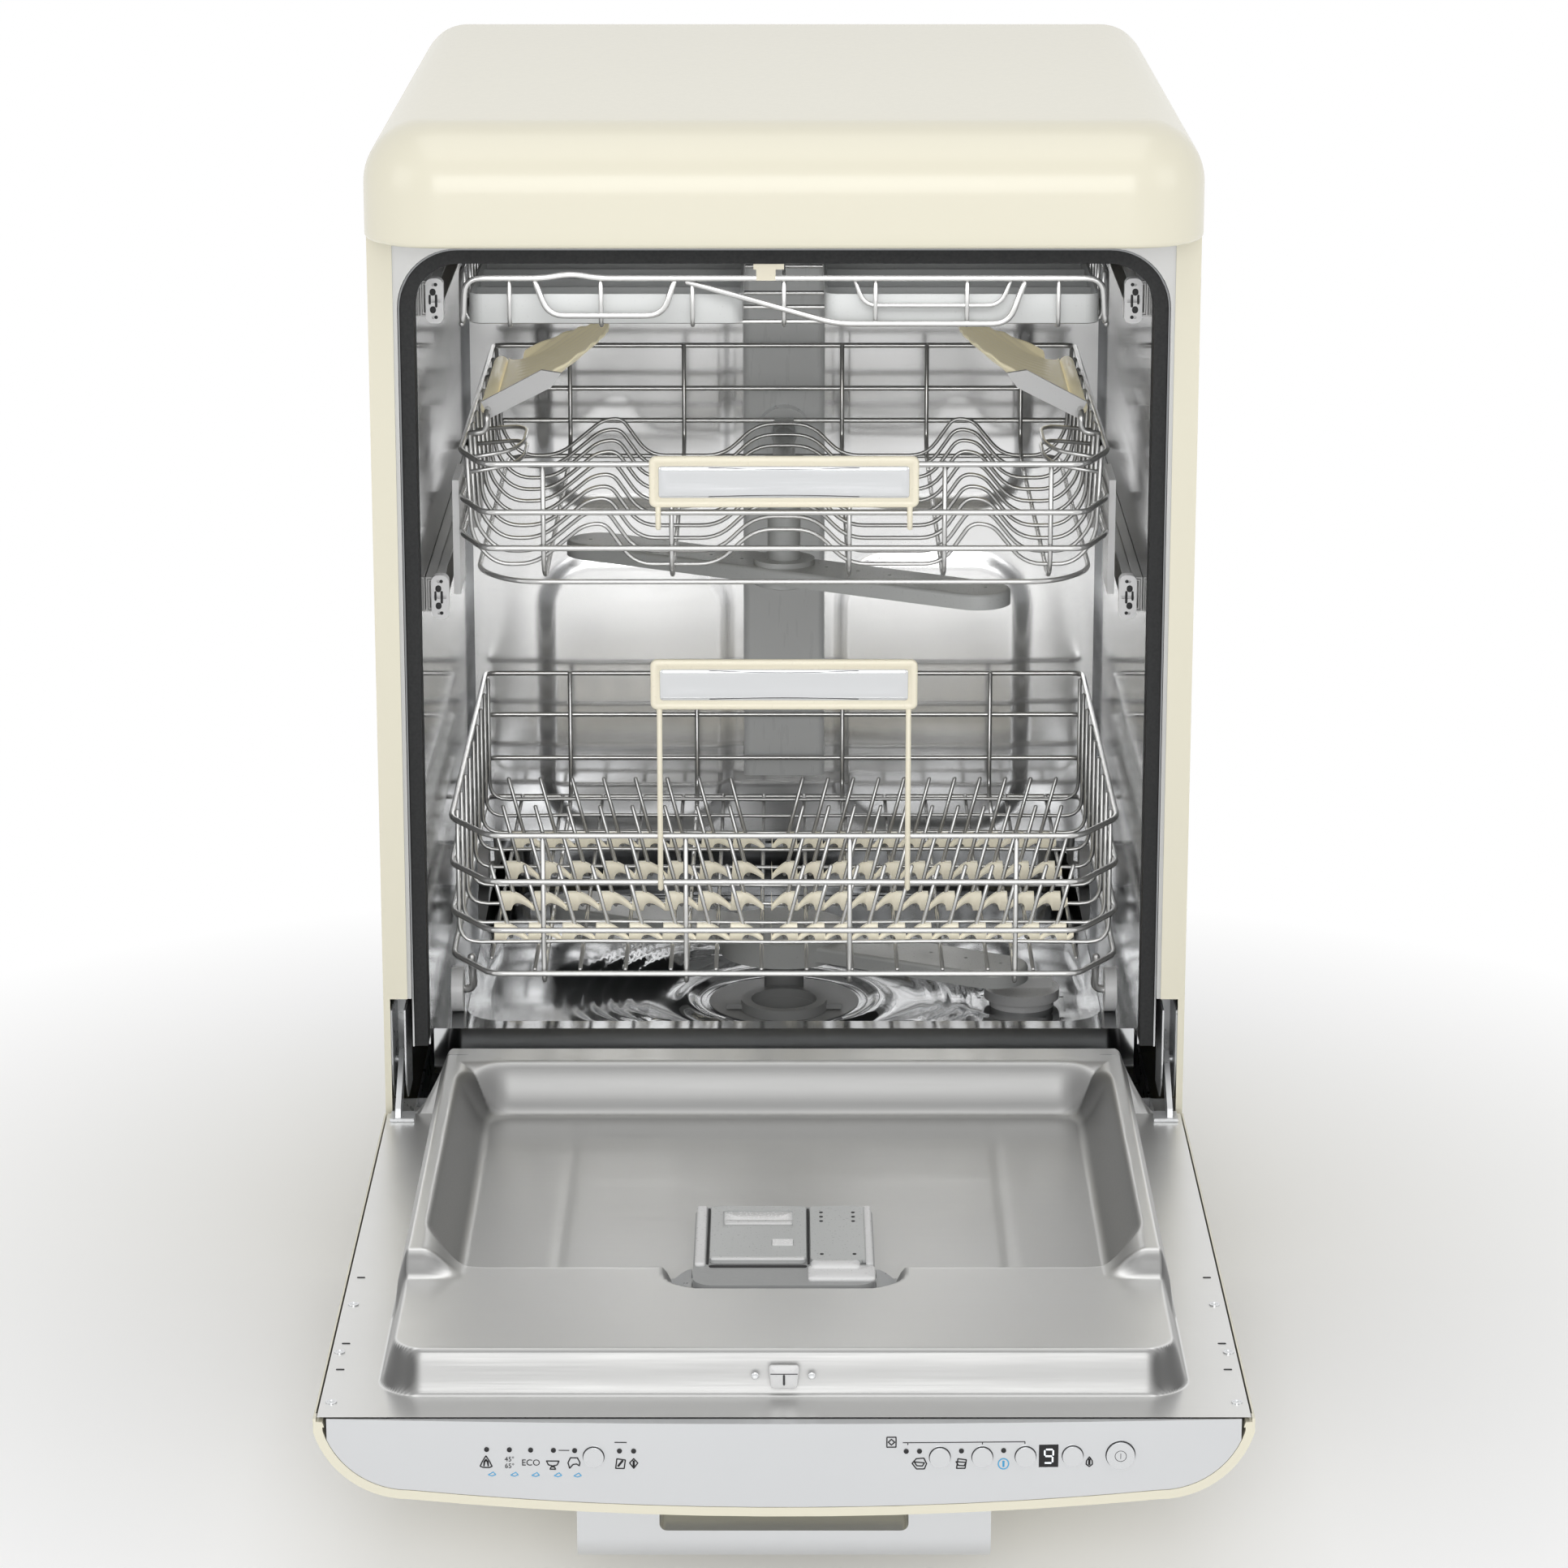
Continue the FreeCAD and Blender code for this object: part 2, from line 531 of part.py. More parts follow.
def latch_catch():
    """The small tongue under the top of the opening that the door's latch grips."""
    top = size("tub_top") - size("seat")
    keep("latch_catch", fused([box(-22, 0, 8, 20, top - 4, top), box(-20, -6, 8, 18, top - 12, top - 2)]))


# ---------------------------------------------------------------- door

def skin_outline(inset):
    """The door's rounded section, seen from its end, as far inside the skin as asked."""
    half = size("door_half")
    top, low = size("flange_top") - 0.5, size("skin_bottom")
    left = [point(-half, 0, top), point(-half, 0, low + 54)]
    bend = point(-half + 16, 0, low + 27)
    shoulder = point(-half + 60, 0, low + 9.5)
    mirror = [point(-p.x, 0, p.z) for p in (left[0], left[1], bend, shoulder)]
    edges = [Part.LineSegment(left[0], left[1]).toShape(),
             Part.Arc(left[1], bend, shoulder).toShape(),
             Part.Arc(shoulder, point(0, 0, low), mirror[3]).toShape(),
             Part.Arc(mirror[3], mirror[2], mirror[1]).toShape(),
             Part.LineSegment(mirror[1], mirror[0]).toShape(),
             Part.LineSegment(mirror[0], left[0]).toShape()]
    outline = Part.Wire(edges)
    if inset:
        outline = outline.makeOffset2D(-inset)
    return Part.Face(outline)


def bowed_end(shape, bow_from):
    """The shape trimmed by the slight bow of the door's top edge."""
    half = size("door_half") + 5
    arc = Part.Arc(point(-half, bow_from, 0), point(0, bow_from - size("end_bow"), 0), point(half, bow_from, 0))
    back = [Part.LineSegment(point(half, bow_from, 0), point(half, 100, 0)).toShape(),
            Part.LineSegment(point(half, 100, 0), point(-half, 100, 0)).toShape(),
            Part.LineSegment(point(-half, 100, 0), point(-half, bow_from, 0)).toShape()]
    plan = Part.Face(Part.Wire([arc.toShape()] + back))
    return shape.common(plan.extrude(point(0, 0, 300)))


def section_block(inset, front, back):
    """The door's section carried from one y to another, reaching the flange plane at its top."""
    face = skin_outline(inset)
    face.translate(point(0, front, 0))
    block = face.extrude(point(0, back - front, 0))
    if inset <= 0:
        return block
    lifted = block.copy()
    lifted.translate(point(0, 0, inset))
    return block.fuse(lifted)


def door_outer_panel():
    """The enamelled door skin with its hemmed rim."""
    front, back = size("fold_y") - size("end_bow") - 2, size("skin_hinge_end")
    outer = bowed_end(section_block(0, front, back), size("fold_y"))
    inner = section_block(size("skin_wall"), front - 1, back + 1)
    above = box(-297.6, 297.6, front - 1, back + 1, size("flange_top") - 3, size("flange_top") + 5)
    rim = bowed_end(section_block(0, front, size("fold_y") + 8), size("fold_y"))
    rim = rim.cut(section_block(size("skin_rim"), front - 1, size("fold_y") + 9)).cut(above)
    keep("door_outer_panel", fused([outer.cut(inner).cut(above), rim]))


def door_frame():
    """The hidden members that stiffen the door, and its narrow tail below the hinge line."""
    half, top = size("tail_half"), size("flange_top") - size("sheet") - size("seat")
    back, low = size("tail_back"), size("tail_bottom")
    tail = box(-half, half, size("skin_hinge_end") + 0.5, back, low, top)
    tail = tail.cut(box(-half + 1.5, half - 1.5, size("skin_hinge_end"), back - 1.5, low + 1.5, top + 1))
    members = [tail]
    for x in (-half + 16, half - 20):
        members.append(box(x, x + 4, size("fold_y") + 20, back - 2, low, top))
    members.append(box(-half + 16, half - 16, -530, -526, low, top))
    board = size("fold_y") + 3 + size("button_travel") + 0.6 + size("board_thick") + size("seat")
    for x in (-100, 200):
        members.append(box(x, x + 10, board, -529, 110, 120))
    keep("door_frame", fused(members))


def liner_block(inset):
    """The liner's raised shape without its pan."""
    half, back = size("liner_half") - inset, size("liner_back") - inset
    low = size("flange_top") - size("sheet") - (1 if inset else 0)
    flat, high = size("plateau_top") - inset, size("rail_top") - inset
    plateau = side_prism([(back, low), (back, flat), (size("plateau_front") + inset, flat),
                          (size("step_front") + inset, low)], -half, half)
    rail_y = size("rail_front")
    rail = side_prism([(back, low), (back, high), (rail_y + inset, high), (rail_y - 15 + inset, flat),
                       (rail_y - 15 + inset, low)], half - size("rail_width") + 2 * inset, half)
    wall = box(-half, half, size("pan_back") + inset, back, low, high)
    return fused([plateau, wall] + both(rail))


def pan_pocket(grow):
    """The sloping pan, grown by the sheet to find its outside."""
    slope = size("pan_slope")
    half = size("liner_half") - size("rail_width") + grow
    back, front = size("pan_back") + grow, size("pan_front") - grow
    low = (-half + slope, half - slope, front + slope + 8, back - slope - 8, size("pan_floor") - grow)
    return frustum(low, (-half, half, front, back, size("rail_top") + 1))


def door_liner():
    """The stainless inner pressing: flange, wheel tracks, plateau and pan."""
    sheet_t = size("sheet")
    shell = liner_block(0).cut(pan_pocket(0))
    hollow = liner_block(sheet_t).cut(pan_pocket(sheet_t))
    top = size("flange_top")
    flange = box(-297, 297, size("fold_y") + 0.5, size("skin_hinge_end") - 1, top - sheet_t, top)
    tongue = box(-size("tail_half"), size("tail_half"), -6, size("liner_back"), top - sheet_t, top)
    opening = liner_block(sheet_t)
    shape = fused([fused([flange, tongue]).cut(opening), shell.cut(hollow)])
    slot = box(-size("dispenser_half") - 0.3, size("dispenser_half") + 0.3, size("dispenser_front") - 0.3,
               size("dispenser_back") + 0.3, 100, 200)
    latch = box(-19, 12, -560, -530, 145, 160)
    keep("door_liner", shape.cut(slot).cut(latch))


def door_hardware():
    """The latch mouth in the liner's front step, and the screws that hold the liner to the skin."""
    block = box(-18.5, 11.5, -548, -532, 145.5, 159.5)
    pieces = [block.cut(box(-11, 4, -549, -540, 149, 156))]
    top = size("flange_top") + 0.1
    for x, y in ((-292, -480), (292, -480), (-290, -565), (290, -565), (-290, -395), (290, -395)):
        head = rod((x, y, top), (x, y, top + 0.6), 3.6)
        cross = [box(x - 2.4, x + 2.4, y - 0.4, y + 0.4, top + 0.3, top + 2),
                 box(x - 0.4, x + 0.4, y - 2.4, y + 2.4, top + 0.3, top + 2)]
        pieces.append(head.cut(fused(cross)))
    keep("door_hardware", pieces)


def fascia_face():
    """The y of the fascia's face at a given x."""
    half = size("door_half") + 5
    bow = size("end_bow")
    radius = (half * half + bow * bow) / (2 * bow)

    def face_at(x):
        return size("fold_y") - bow + radius - math.sqrt(radius * radius - x * x)

    return face_at


BUTTONS = {"program_button": -121, "option_button_1": 99, "option_button_2": 126, "option_button_3": 153.5,
           "start_button": 183.5}
POWER_X = 214
DISPLAY_X = 168.2


def control_fascia():
    """The satin end panel that carries the buttons."""
    front = size("fold_y") - size("end_bow") - 2
    inset = size("skin_rim") + size("seat")
    panel = bowed_end(section_block(inset, front, size("fold_y") + 0.2), size("fold_y") + 0.4)
    panel = panel.common(box(-291, 291, -700, 0, 0, size("flange_top") - 0.8))
    back = size("fold_y") + 2
    for x in BUTTONS.values():
        radius = size("button_radius") + size("button_gap")
        panel = panel.cut(rod((x, front - 2, size("button_z")), (x, back, size("button_z")), radius))
    radius = size("power_radius") + size("button_gap")
    panel = panel.cut(rod((POWER_X, front - 2, size("button_z")), (POWER_X, back, size("button_z")), radius))
    half_w = size("display_width") / 2 + 0.2
    half_h = size("display_height") / 2 + 0.2
    window = box(DISPLAY_X - half_w, DISPLAY_X + half_w, front - 2, back, size("button_z") - half_h,
                 size("button_z") + half_h)
    keep("control_fascia", panel.cut(window))


def round_button(label, x, radius):
    """A push button whose face stands just proud of the fascia."""
    front = fascia_face()(x) - size("button_proud")
    turn = FreeCAD.Rotation(point(1, 0, 0), 90)
    place = FreeCAD.Placement(point(x, size("fold_y") + 3, size("button_z")), turn)
    body = new_body(label, place)
    sketch = sketch_on(body, "XY_Plane", "disc")
    add_circle(sketch, radius)
    feature = pad(body, sketch, "%.4f mm" % (size("fold_y") + 3 - front))
    body.Tip = feature
    return body


def controls():
    """The buttons, the display window and the board behind them."""
    for label, x in BUTTONS.items():
        round_button(label, x, "Sizes.button_radius")
    round_button("power_button", POWER_X, "Sizes.power_radius")
    face = fascia_face()(DISPLAY_X)
    place = FreeCAD.Placement(point(DISPLAY_X, face + 2.6, size("button_z")), FreeCAD.Rotation())
    plate("display_window", "XZ_Plane", "Sizes.display_width", "Sizes.display_height", "5 mm", place)
    behind = size("fold_y") + 3 + size("button_travel") + 0.6 + size("board_thick") / 2
    place = FreeCAD.Placement(point(60, behind, 116), FreeCAD.Rotation())
    plate("control_board", "XZ_Plane", "Sizes.board_width", "Sizes.board_height", "Sizes.board_thick", place)


def handle():
    """The bar handle with its finger slot."""
    half, low = size("handle_half"), size("handle_bottom")
    front, back = size("handle_front"), size("handle_back")
    body = box(-half, half, front, back, low, size("skin_bottom") + 8)
    lower = [e for e in body.Edges if abs(e.tangentAt(e.FirstParameter).x) > 0.99]
    body = body.makeFillet(17, [e for e in lower if e.CenterOfMass.z < low + 1])
    slot = box(-size("handle_slot"), size("handle_slot"), front - 1, back + 1, low + 23, low + 38)
    slot = slot.makeFillet(5, [e for e in slot.Edges if abs(e.tangentAt(e.FirstParameter).y) > 0.99])
    door = section_block(-size("seat"), front - 30, back + 30)
    keep("handle", body.cut(slot).cut(door))


def dispenser():
    """The detergent and rinse-aid unit, its two lids and the release button."""
    half, top = size("dispenser_half"), size("dispenser_top")
    front, back = size("dispenser_front"), size("dispenser_back")
    body = upright(-half, half, front, back, size("dispenser_bottom"), top, 14)
    bowl = upright(-46, 10, -388, -296, top - 30, top + 1, 6)
    well = upright(22, 50, -388, -296, top - 26, top + 1, 6)
    keep("dispenser_body", body.cut(bowl).cut(well))
    gap, thick = size("lid_gap"), size("lid_thick")
    lid = upright(-50, 15, -395, -290, top + gap, top + gap + thick, 5)
    lid = lid.cut(upright(-42, 6, -334, -298, top + gap + 1, top + gap + 4, 4))
    lid = lid.cut(box(-8.3, 6.3, -367.3, -355.7, top, top + 5))
    keep("detergent_lid", lid)
    keep("lid_button", box(-8, 6, -367, -356, top + gap + 0.9, top + gap + thick + 0.6))
    flap = upright(18, 54, -395, -290, top + gap, top + gap + thick, 5)
    knuckle = rod((54, -394, top + gap + thick / 2), (54, -291, top + gap + thick / 2), thick / 2 - 0.05)
    keep("rinse_aid_lid", fused([flap, knuckle]))


# ---------------------------------------------------------------- racks

def ladder(corner_a, corner_b, heights, posts, foot):
    """A flat wire wall between two plan points: rims at each height and upright posts."""
    ax, ay = corner_a
    bx, by = corner_b
    wires = [rod((ax, ay, z), (bx, by, z), size("rim_wire")) for z in heights]
    for share in posts:
        x, y = ax + (bx - ax) * share, ay + (by - ay) * share
        wires.append(rod((x, y, foot), (x, y, heights[0] + 0.5), size("fine_wire")))
    return fused(wires)


def floor_wires(half, back, z, x0, x1, across, along):
    """A flat wire floor between x0 and x1 that follows the rack's cut front corners."""
    front, nose, bend = size("rack_front"), size("rack_front_half"), size("chamfer_y")
    clear = size("rim_wire") + size("seat")
    slope = (half - nose) / (bend - front)

    def side_at(y):
        return min(half - clear, nose + slope * (y - front) - 2 * clear)

    def front_at(x):
        return front + clear + max(0, abs(x) - nose + 2 * clear) / slope

    wires = []
    for i in range(across):
        y = front + 12 + (back - front - 24) * i / (across - 1)
        reach = side_at(y)
        wires.append(rod((max(x0, -reach), y, z), (min(x1, reach), y, z), size("fine_wire")))
    for i in range(along):
        x = x0 + 6 + (x1 - x0 - 12) * i / (along - 1)
        x = max(-half + 10, min(half - 10, x))
        wires.append(rod((x, front_at(x), z), (x, back - clear, z), size("rim_wire") - 0.3))
    return fused(wires)


def rack_walls(half, back, heights):
    """Front, corners, sides and rear of a rack, each a flat wall, their ends just apart."""
    front, nose, bend = size("rack_front"), size("rack_front_half"), size("chamfer_y")
    gap = size("rim_wire") + size("seat")
    posts = [0.02, 0.2, 0.4, 0.6, 0.8, 0.98]
    foot = heights[-1]
    walls = [ladder((-nose + gap, front), (nose - gap, front), heights, [0.09, 0.33, 0.62, 0.9], foot)]
    walls += both(ladder((nose, front + 1), (half - 1, bend - gap), heights, [0.5], foot))
    walls += both(ladder((half, bend), (half, back - gap), heights, posts, foot))
    walls.append(ladder((-half + 1, back), (half - 1, back), heights, [0.1, 0.3, 0.44, 0.56, 0.7, 0.9], foot))
    return walls


def basket_handle(label, z_low, joined):
    """The curved grip plate on a rack's front."""
    half, tall, thick = size("rack_handle_half"), size("rack_handle_height"), size("rack_handle_thick")
    front = size("rack_front") - size("rim_wire") - size("seat") - thick
    bar = rounded(-half, half, z_low, z_low + tall, front, front + thick, 16)
    window = rounded(-half + 12, half - 12, z_low + 8, z_low + tall - 8, front - 1, front + 1.2, 8)
    legs = both(box(half - 10, half - 4, front + 1, front + thick, joined, z_low + 10))
    keep(label, fused([bar.cut(window)] + legs))


def lower_rack():
    """The lower basket: walls, floor, folding tine strips, grip and wheels."""
    half, back, floor = size("lower_half"), size("lower_back"), size("lower_floor")
    wires = rack_walls(half, back, [342, 306, 268, floor])
    wires.append(floor_wires(half, back, floor, -half, half, 11, 13))
    basket_handle("lower_basket_handle", 441, 300)
    strips = []
    for y in (112, 196, 280, 364):
        for x0, x1, count, lean in ((-212, -18, 8, -1), (-12, 214, 11, 1)):
            bar = box(x0, x1, y - 3, y + 3, floor + size("rim_wire"), floor + 14)
            tines = []
            for i in range(count):
                x = x0 + 8 + (x1 - x0 - 16) * i / (count - 1)
                tines.append(rod((x, y, floor + 8), (x + lean * 16, y, floor + 62), 1.5))
            strips.append(fused([bar] + tines))
    keep("tine_strips", strips)
    for y in (102, 440):
        track, radius = size("wheel_track"), size("axle_radius")
        centre = size("sill_top") + size("seat") + size("wheel_radius")
        axle = rod((track - 14, y, centre), (track + 4.2, y, centre), radius)
        hanger = box(track - 16, track - 8, y - 7, y + 7, centre - 6, floor - 2.6)
        wires += both(fused([axle, hanger]))
    keep("lower_basket_wires", wires)


def wheel_pair(label, y):
    """Two wheels on one line, turned together."""
    centre = size("sill_top") + size("seat") + size("wheel_radius")
    track, wide = size("wheel_track"), size("wheel_width")
    disc = rod((track - wide / 2, y, centre), (track + wide / 2, y, centre), size("wheel_radius"))
    outside = track + wide / 2
    recess = rod((outside - 1.5, y, centre), (outside + 1, y, centre), size("wheel_radius") - 4)
    bore = rod((track - wide, y, centre), (track + wide, y, centre), size("axle_radius") + size("axle_fit"))
    keep(label, both(disc.cut(recess).cut(bore)))


def upper_rack():
    """The upper basket: walls, split floor, grip, adjusters, cup flaps, spray pipe and glides."""
    half, back, floor = size("upper_half"), size("upper_back"), size("upper_floor")
    wires = rack_walls(half, back, [625, 589, 562, floor])
    for x0, x1 in ((-half, -20), (20, half)):
        wires.append(floor_wires(half, back, floor, x0, x1, 11, 6))
    keep("upper_basket_wires", wires + cup_flap_pins())
    basket_handle("upper_basket_handle", 594, 576)
    plates = []
    low = size("upper_rail_z") - 9
    for y in (100, 330):
        inner = half + size("rim_wire") + size("seat")
        plate_shape = box(inner, inner + 5, y, y + 60, low, 600)
        plates.append(plate_shape)
    adjusters = [shape for one in plates for shape in both(one)]
    inner = half + size("rim_wire") + size("seat") + 5 + size("seat")
    keep("height_adjusters", adjusters + glide_pair(size("upper_rail_z"), inner, (344, 500)))
    y, z, r = size("arm_y"), size("pipe_z"), size("pipe_radius")
    pipe = rod((0, y, z), (0, size("tub_back") - 12, z), r)
    drop = rod((0, y, size("upper_arm_z") + size("arm_height") + 4), (0, y, z + r), size("hub_radius"))
    arm_z = size("upper_arm_z")
    stub = rod((0, y, arm_z - 8), (0, y, z), 5)
    disc = rod((0, y, arm_z - 8), (0, y, arm_z - 4.4), 11)
    clip_y = back - size("rim_wire") - size("seat")
    clip = box(-8, 8, clip_y - 5, clip_y, z + 4, z + 16)
    bore = rod((0, y + 10, z), (0, size("tub_back"), z), r - 2)
    keep("spray_pipe", fused([pipe, drop, stub, disc, clip]).cut(bore))


def cup_flap(label, sign):
    """A folding cup shelf hinged along the rack's side."""
    hinge = size("upper_half") - 16
    outline = [(0, 0), (66, 6), (92, 70), (66, 180), (0, 186)]
    corners = [point(-x, y + 170, 0) for x, y in outline]
    face = Part.Face(Part.makePolygon(corners + corners[:1]))
    leaf = face.extrude(point(0, 0, 3))
    leaf.rotate(point(0, 0, 0), point(0, 1, 0), 28)
    leaf.translate(point(hinge - 6, 0, 641))
    barrel = rod((hinge, 170, 641), (hinge, 356, 641), 6)
    shape = fused([leaf, barrel])
    pin = rod((hinge, 160, 641), (hinge, 366, 641), 2.6)
    shape = shape.cut(pin)
    keep(label, shape if sign > 0 else mirrored(shape))


def cup_flap_pins():
    """The pins the flaps fold on, standing on the rack's sides."""
    hinge = size("upper_half") - 16
    pin = rod((hinge, 150, 641), (hinge, 376, 641), 2.5)
    arms = []
    for y in (150, 376):
        arms.append(rod((hinge, y, 622), (hinge, y, 641), 3))
        side = size("upper_half") - size("rim_wire") - size("seat")
        arms.append(rod((hinge - 3, y, 625), (side, y, 625), 2.6))
    return both(fused([pin] + arms))


def top_tray():
    """The shallow third-level tray: wire frame, two plastic inserts and glides."""
    half, top, front = size("tray_half"), size("tray_z"), size("rack_front") + 8
    back = size("upper_back")
    low = 724
    gap = size("rim_wire") + size("seat")
    frame = [ladder((-half + gap, front), (half - gap, front), [top, low], [0.16, 0.33, 0.62, 0.84], low - 0.5),
             ladder((-half + gap, back), (half - gap, back), [low + 17, low], [0.16, 0.5, 0.84], low - 0.5)]
    frame += both(ladder((half, front), (half, back), [top, low], [0.03, 0.25, 0.5, 0.75, 0.97], low - 0.5))
    inserts = []
    for x0, x1 in ((-half + 6, -30), (30, half - 6)):
        tray = upright(x0, x1, front + 8, back - 8, low + 2.8, low + 24, 10)
        hollow = upright(x0 + 2, x1 - 2, front + 10, back - 10, low + 5, low + 25, 8)
        ribs = [box(x0 + 2, x1 - 2, y, y + 1.6, low + 4, low + 16) for y in range(90, 500, 40)]
        inserts.append(fused([tray.cut(hollow)] + ribs))
    keep("top_tray_inserts", inserts)
    fine = size("fine_wire")
    bars = [rod((-half + 3, y, low + 0.6), (half - 3, y, low + 0.6), fine) for y in (120, 283, 440)]
    glides = glide_pair(size("tray_rail_z"), half + size("rim_wire") + size("seat"), (300, 480))
    keep("top_tray_frame", frame + bars + glides)


# ---------------------------------------------------------------- spray arms

def spray_arm(label, z, half, y, hub, bore, turn, width, hung):
    """A flat rounded blade with nozzle holes; its hub bore goes right through when it hangs."""
    tall = size("arm_height")
    blade = upright(-half, half, -width / 2, width / 2, 0, tall, width / 2 - 1)
    crown = [e for e in blade.Edges if abs(e.CenterOfMass.z - tall) < 0.01]
    blade = blade.makeFillet(3, crown)
    disc = rod((0, 0, -4), (0, 0, tall + 4), hub)
    hole = rod((0, 0, -8), (0, 0, tall + (8 if hung else 1)), bore)
    nozzles = []
    for i in range(1, 7):
        x = half * i / 7.0 + 8
        nozzles.append(rod((x, 4, tall - 3), (x, 4, tall + 3), 1.6))
        nozzles.append(rod((-x, -4, tall - 3), (-x, -4, tall + 3), 1.6))
    shape = fused([blade, disc]).cut(hole)
    for nozzle in nozzles:
        shape = shape.cut(nozzle)
    keep(label, shape, FreeCAD.Placement(point(0, y, z), FreeCAD.Rotation(point(0, 0, 1), turn)))


def spray_arms():
    """The lower, upper and ceiling arms."""
    arm_y = size("sump_y") + 34
    spray_arm("lower_spray_arm", size("lower_arm_z"), size("lower_arm_half"), arm_y, 52,
              size("spindle_radius") + size("pin_fit"), -28, 56, False)
    spray_arm("upper_spray_arm", size("upper_arm_z"), size("upper_arm_half"), size("arm_y"), 24, 5.08, -30,
              size("arm_width"), True)
    spray_arm("top_spray_arm", size("top_arm_z") - 16, size("top_arm_half"), size("arm_y"), 13, 4.08, 12, 30,
              True)


# ---------------------------------------------------------------- build and save

def save_parts():
    """Check every sub-part and write one file for each."""
    doc.recompute()
    for item in doc.Objects:
        if "Invalid" in item.State or "Error" in item.State:
            raise ValueError("%s did not compute: %s" % (item.Label, item.State))
    os.makedirs("parts", exist_ok=True)
    for item in parts:
        if item.Shape.isNull() or not item.Shape.isValid():
            raise ValueError("%s has a bad shape" % item.Label)
        item.Shape.exportStep("parts/%s.step" % item.Label)


def build():
    """Every sub-part, from the cabinet inwards."""
    top_cover()
    side_panel("side_panel_left", -1)
    side_panel("side_panel_right", 1)
    back_panel()
    base_tray()
    plinth()
    levelling_feet()
    tub()
    front_frame()
    door_gasket()
    water_duct()
    back_rails()
    sump()
    filter_cylinder()
    softener()
    salt_cap()
    pumps_and_pipes()
    hinge_brackets()
    hinge_arms()
    latch_catch()
    door_outer_panel()
    door_frame()
    door_liner()
    door_hardware()
    control_fascia()
    controls()
    handle()
    dispenser()
    lower_rack()
    wheel_pair("front_wheels", 102)
    wheel_pair("rear_wheels", 440)
    upper_rack()
    cup_flap("cup_flap_left", -1)
    cup_flap("cup_flap_right", 1)
    top_tray()
    spray_arms()
    save_parts()


build()
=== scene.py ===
"""Looks of a retro free-standing dishwasher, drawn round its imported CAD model.

The door is open and the racks are in. Lengths are in metres, +Z is up, +Y is the back and Z = 0 the floor.
"""

import logging
import math
from dataclasses import dataclass, field
from enum import Enum

import bmesh
import bpy
import numpy as np
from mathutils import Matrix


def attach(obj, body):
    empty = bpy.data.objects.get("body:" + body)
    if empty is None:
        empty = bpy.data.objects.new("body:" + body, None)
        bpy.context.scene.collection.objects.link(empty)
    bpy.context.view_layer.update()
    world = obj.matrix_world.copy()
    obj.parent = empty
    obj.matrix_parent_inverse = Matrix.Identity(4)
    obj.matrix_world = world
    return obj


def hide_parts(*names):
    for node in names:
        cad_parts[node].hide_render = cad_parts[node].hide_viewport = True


LOG = logging.getLogger("dishwasher")
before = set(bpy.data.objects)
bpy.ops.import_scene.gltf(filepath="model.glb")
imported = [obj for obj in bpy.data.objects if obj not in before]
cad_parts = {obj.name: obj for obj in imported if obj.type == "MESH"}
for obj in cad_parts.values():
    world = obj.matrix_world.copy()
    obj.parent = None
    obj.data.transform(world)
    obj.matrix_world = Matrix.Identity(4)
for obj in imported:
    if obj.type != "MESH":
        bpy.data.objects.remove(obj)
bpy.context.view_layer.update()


class Slot(Enum):
    """Material slots of the record that pieces take their finish from."""

    ENAMEL = "cream_enamel"
    STEEL = "stainless"
    ZINC = "galvanised"
    FASCIA = "fascia_metal"
    CHROME = "chrome"
    WIRE = "wire_coating"
    RUBBER = "gasket_rubber"
    GREY = "grey_plastic"
    LIGHT_GREY = "light_grey_plastic"
    DARK = "dark_plastic"
    CREAM = "cream_plastic"
    WHITE = "white_plastic"
    DISPLAY = "black_display"
    BOARD = "circuit_board"


class Side(Enum):
    """The two sides of the machine, as the sign of X."""

    LEFT = -1
    RIGHT = 1


# ------------------------------------------------------------------ finishes


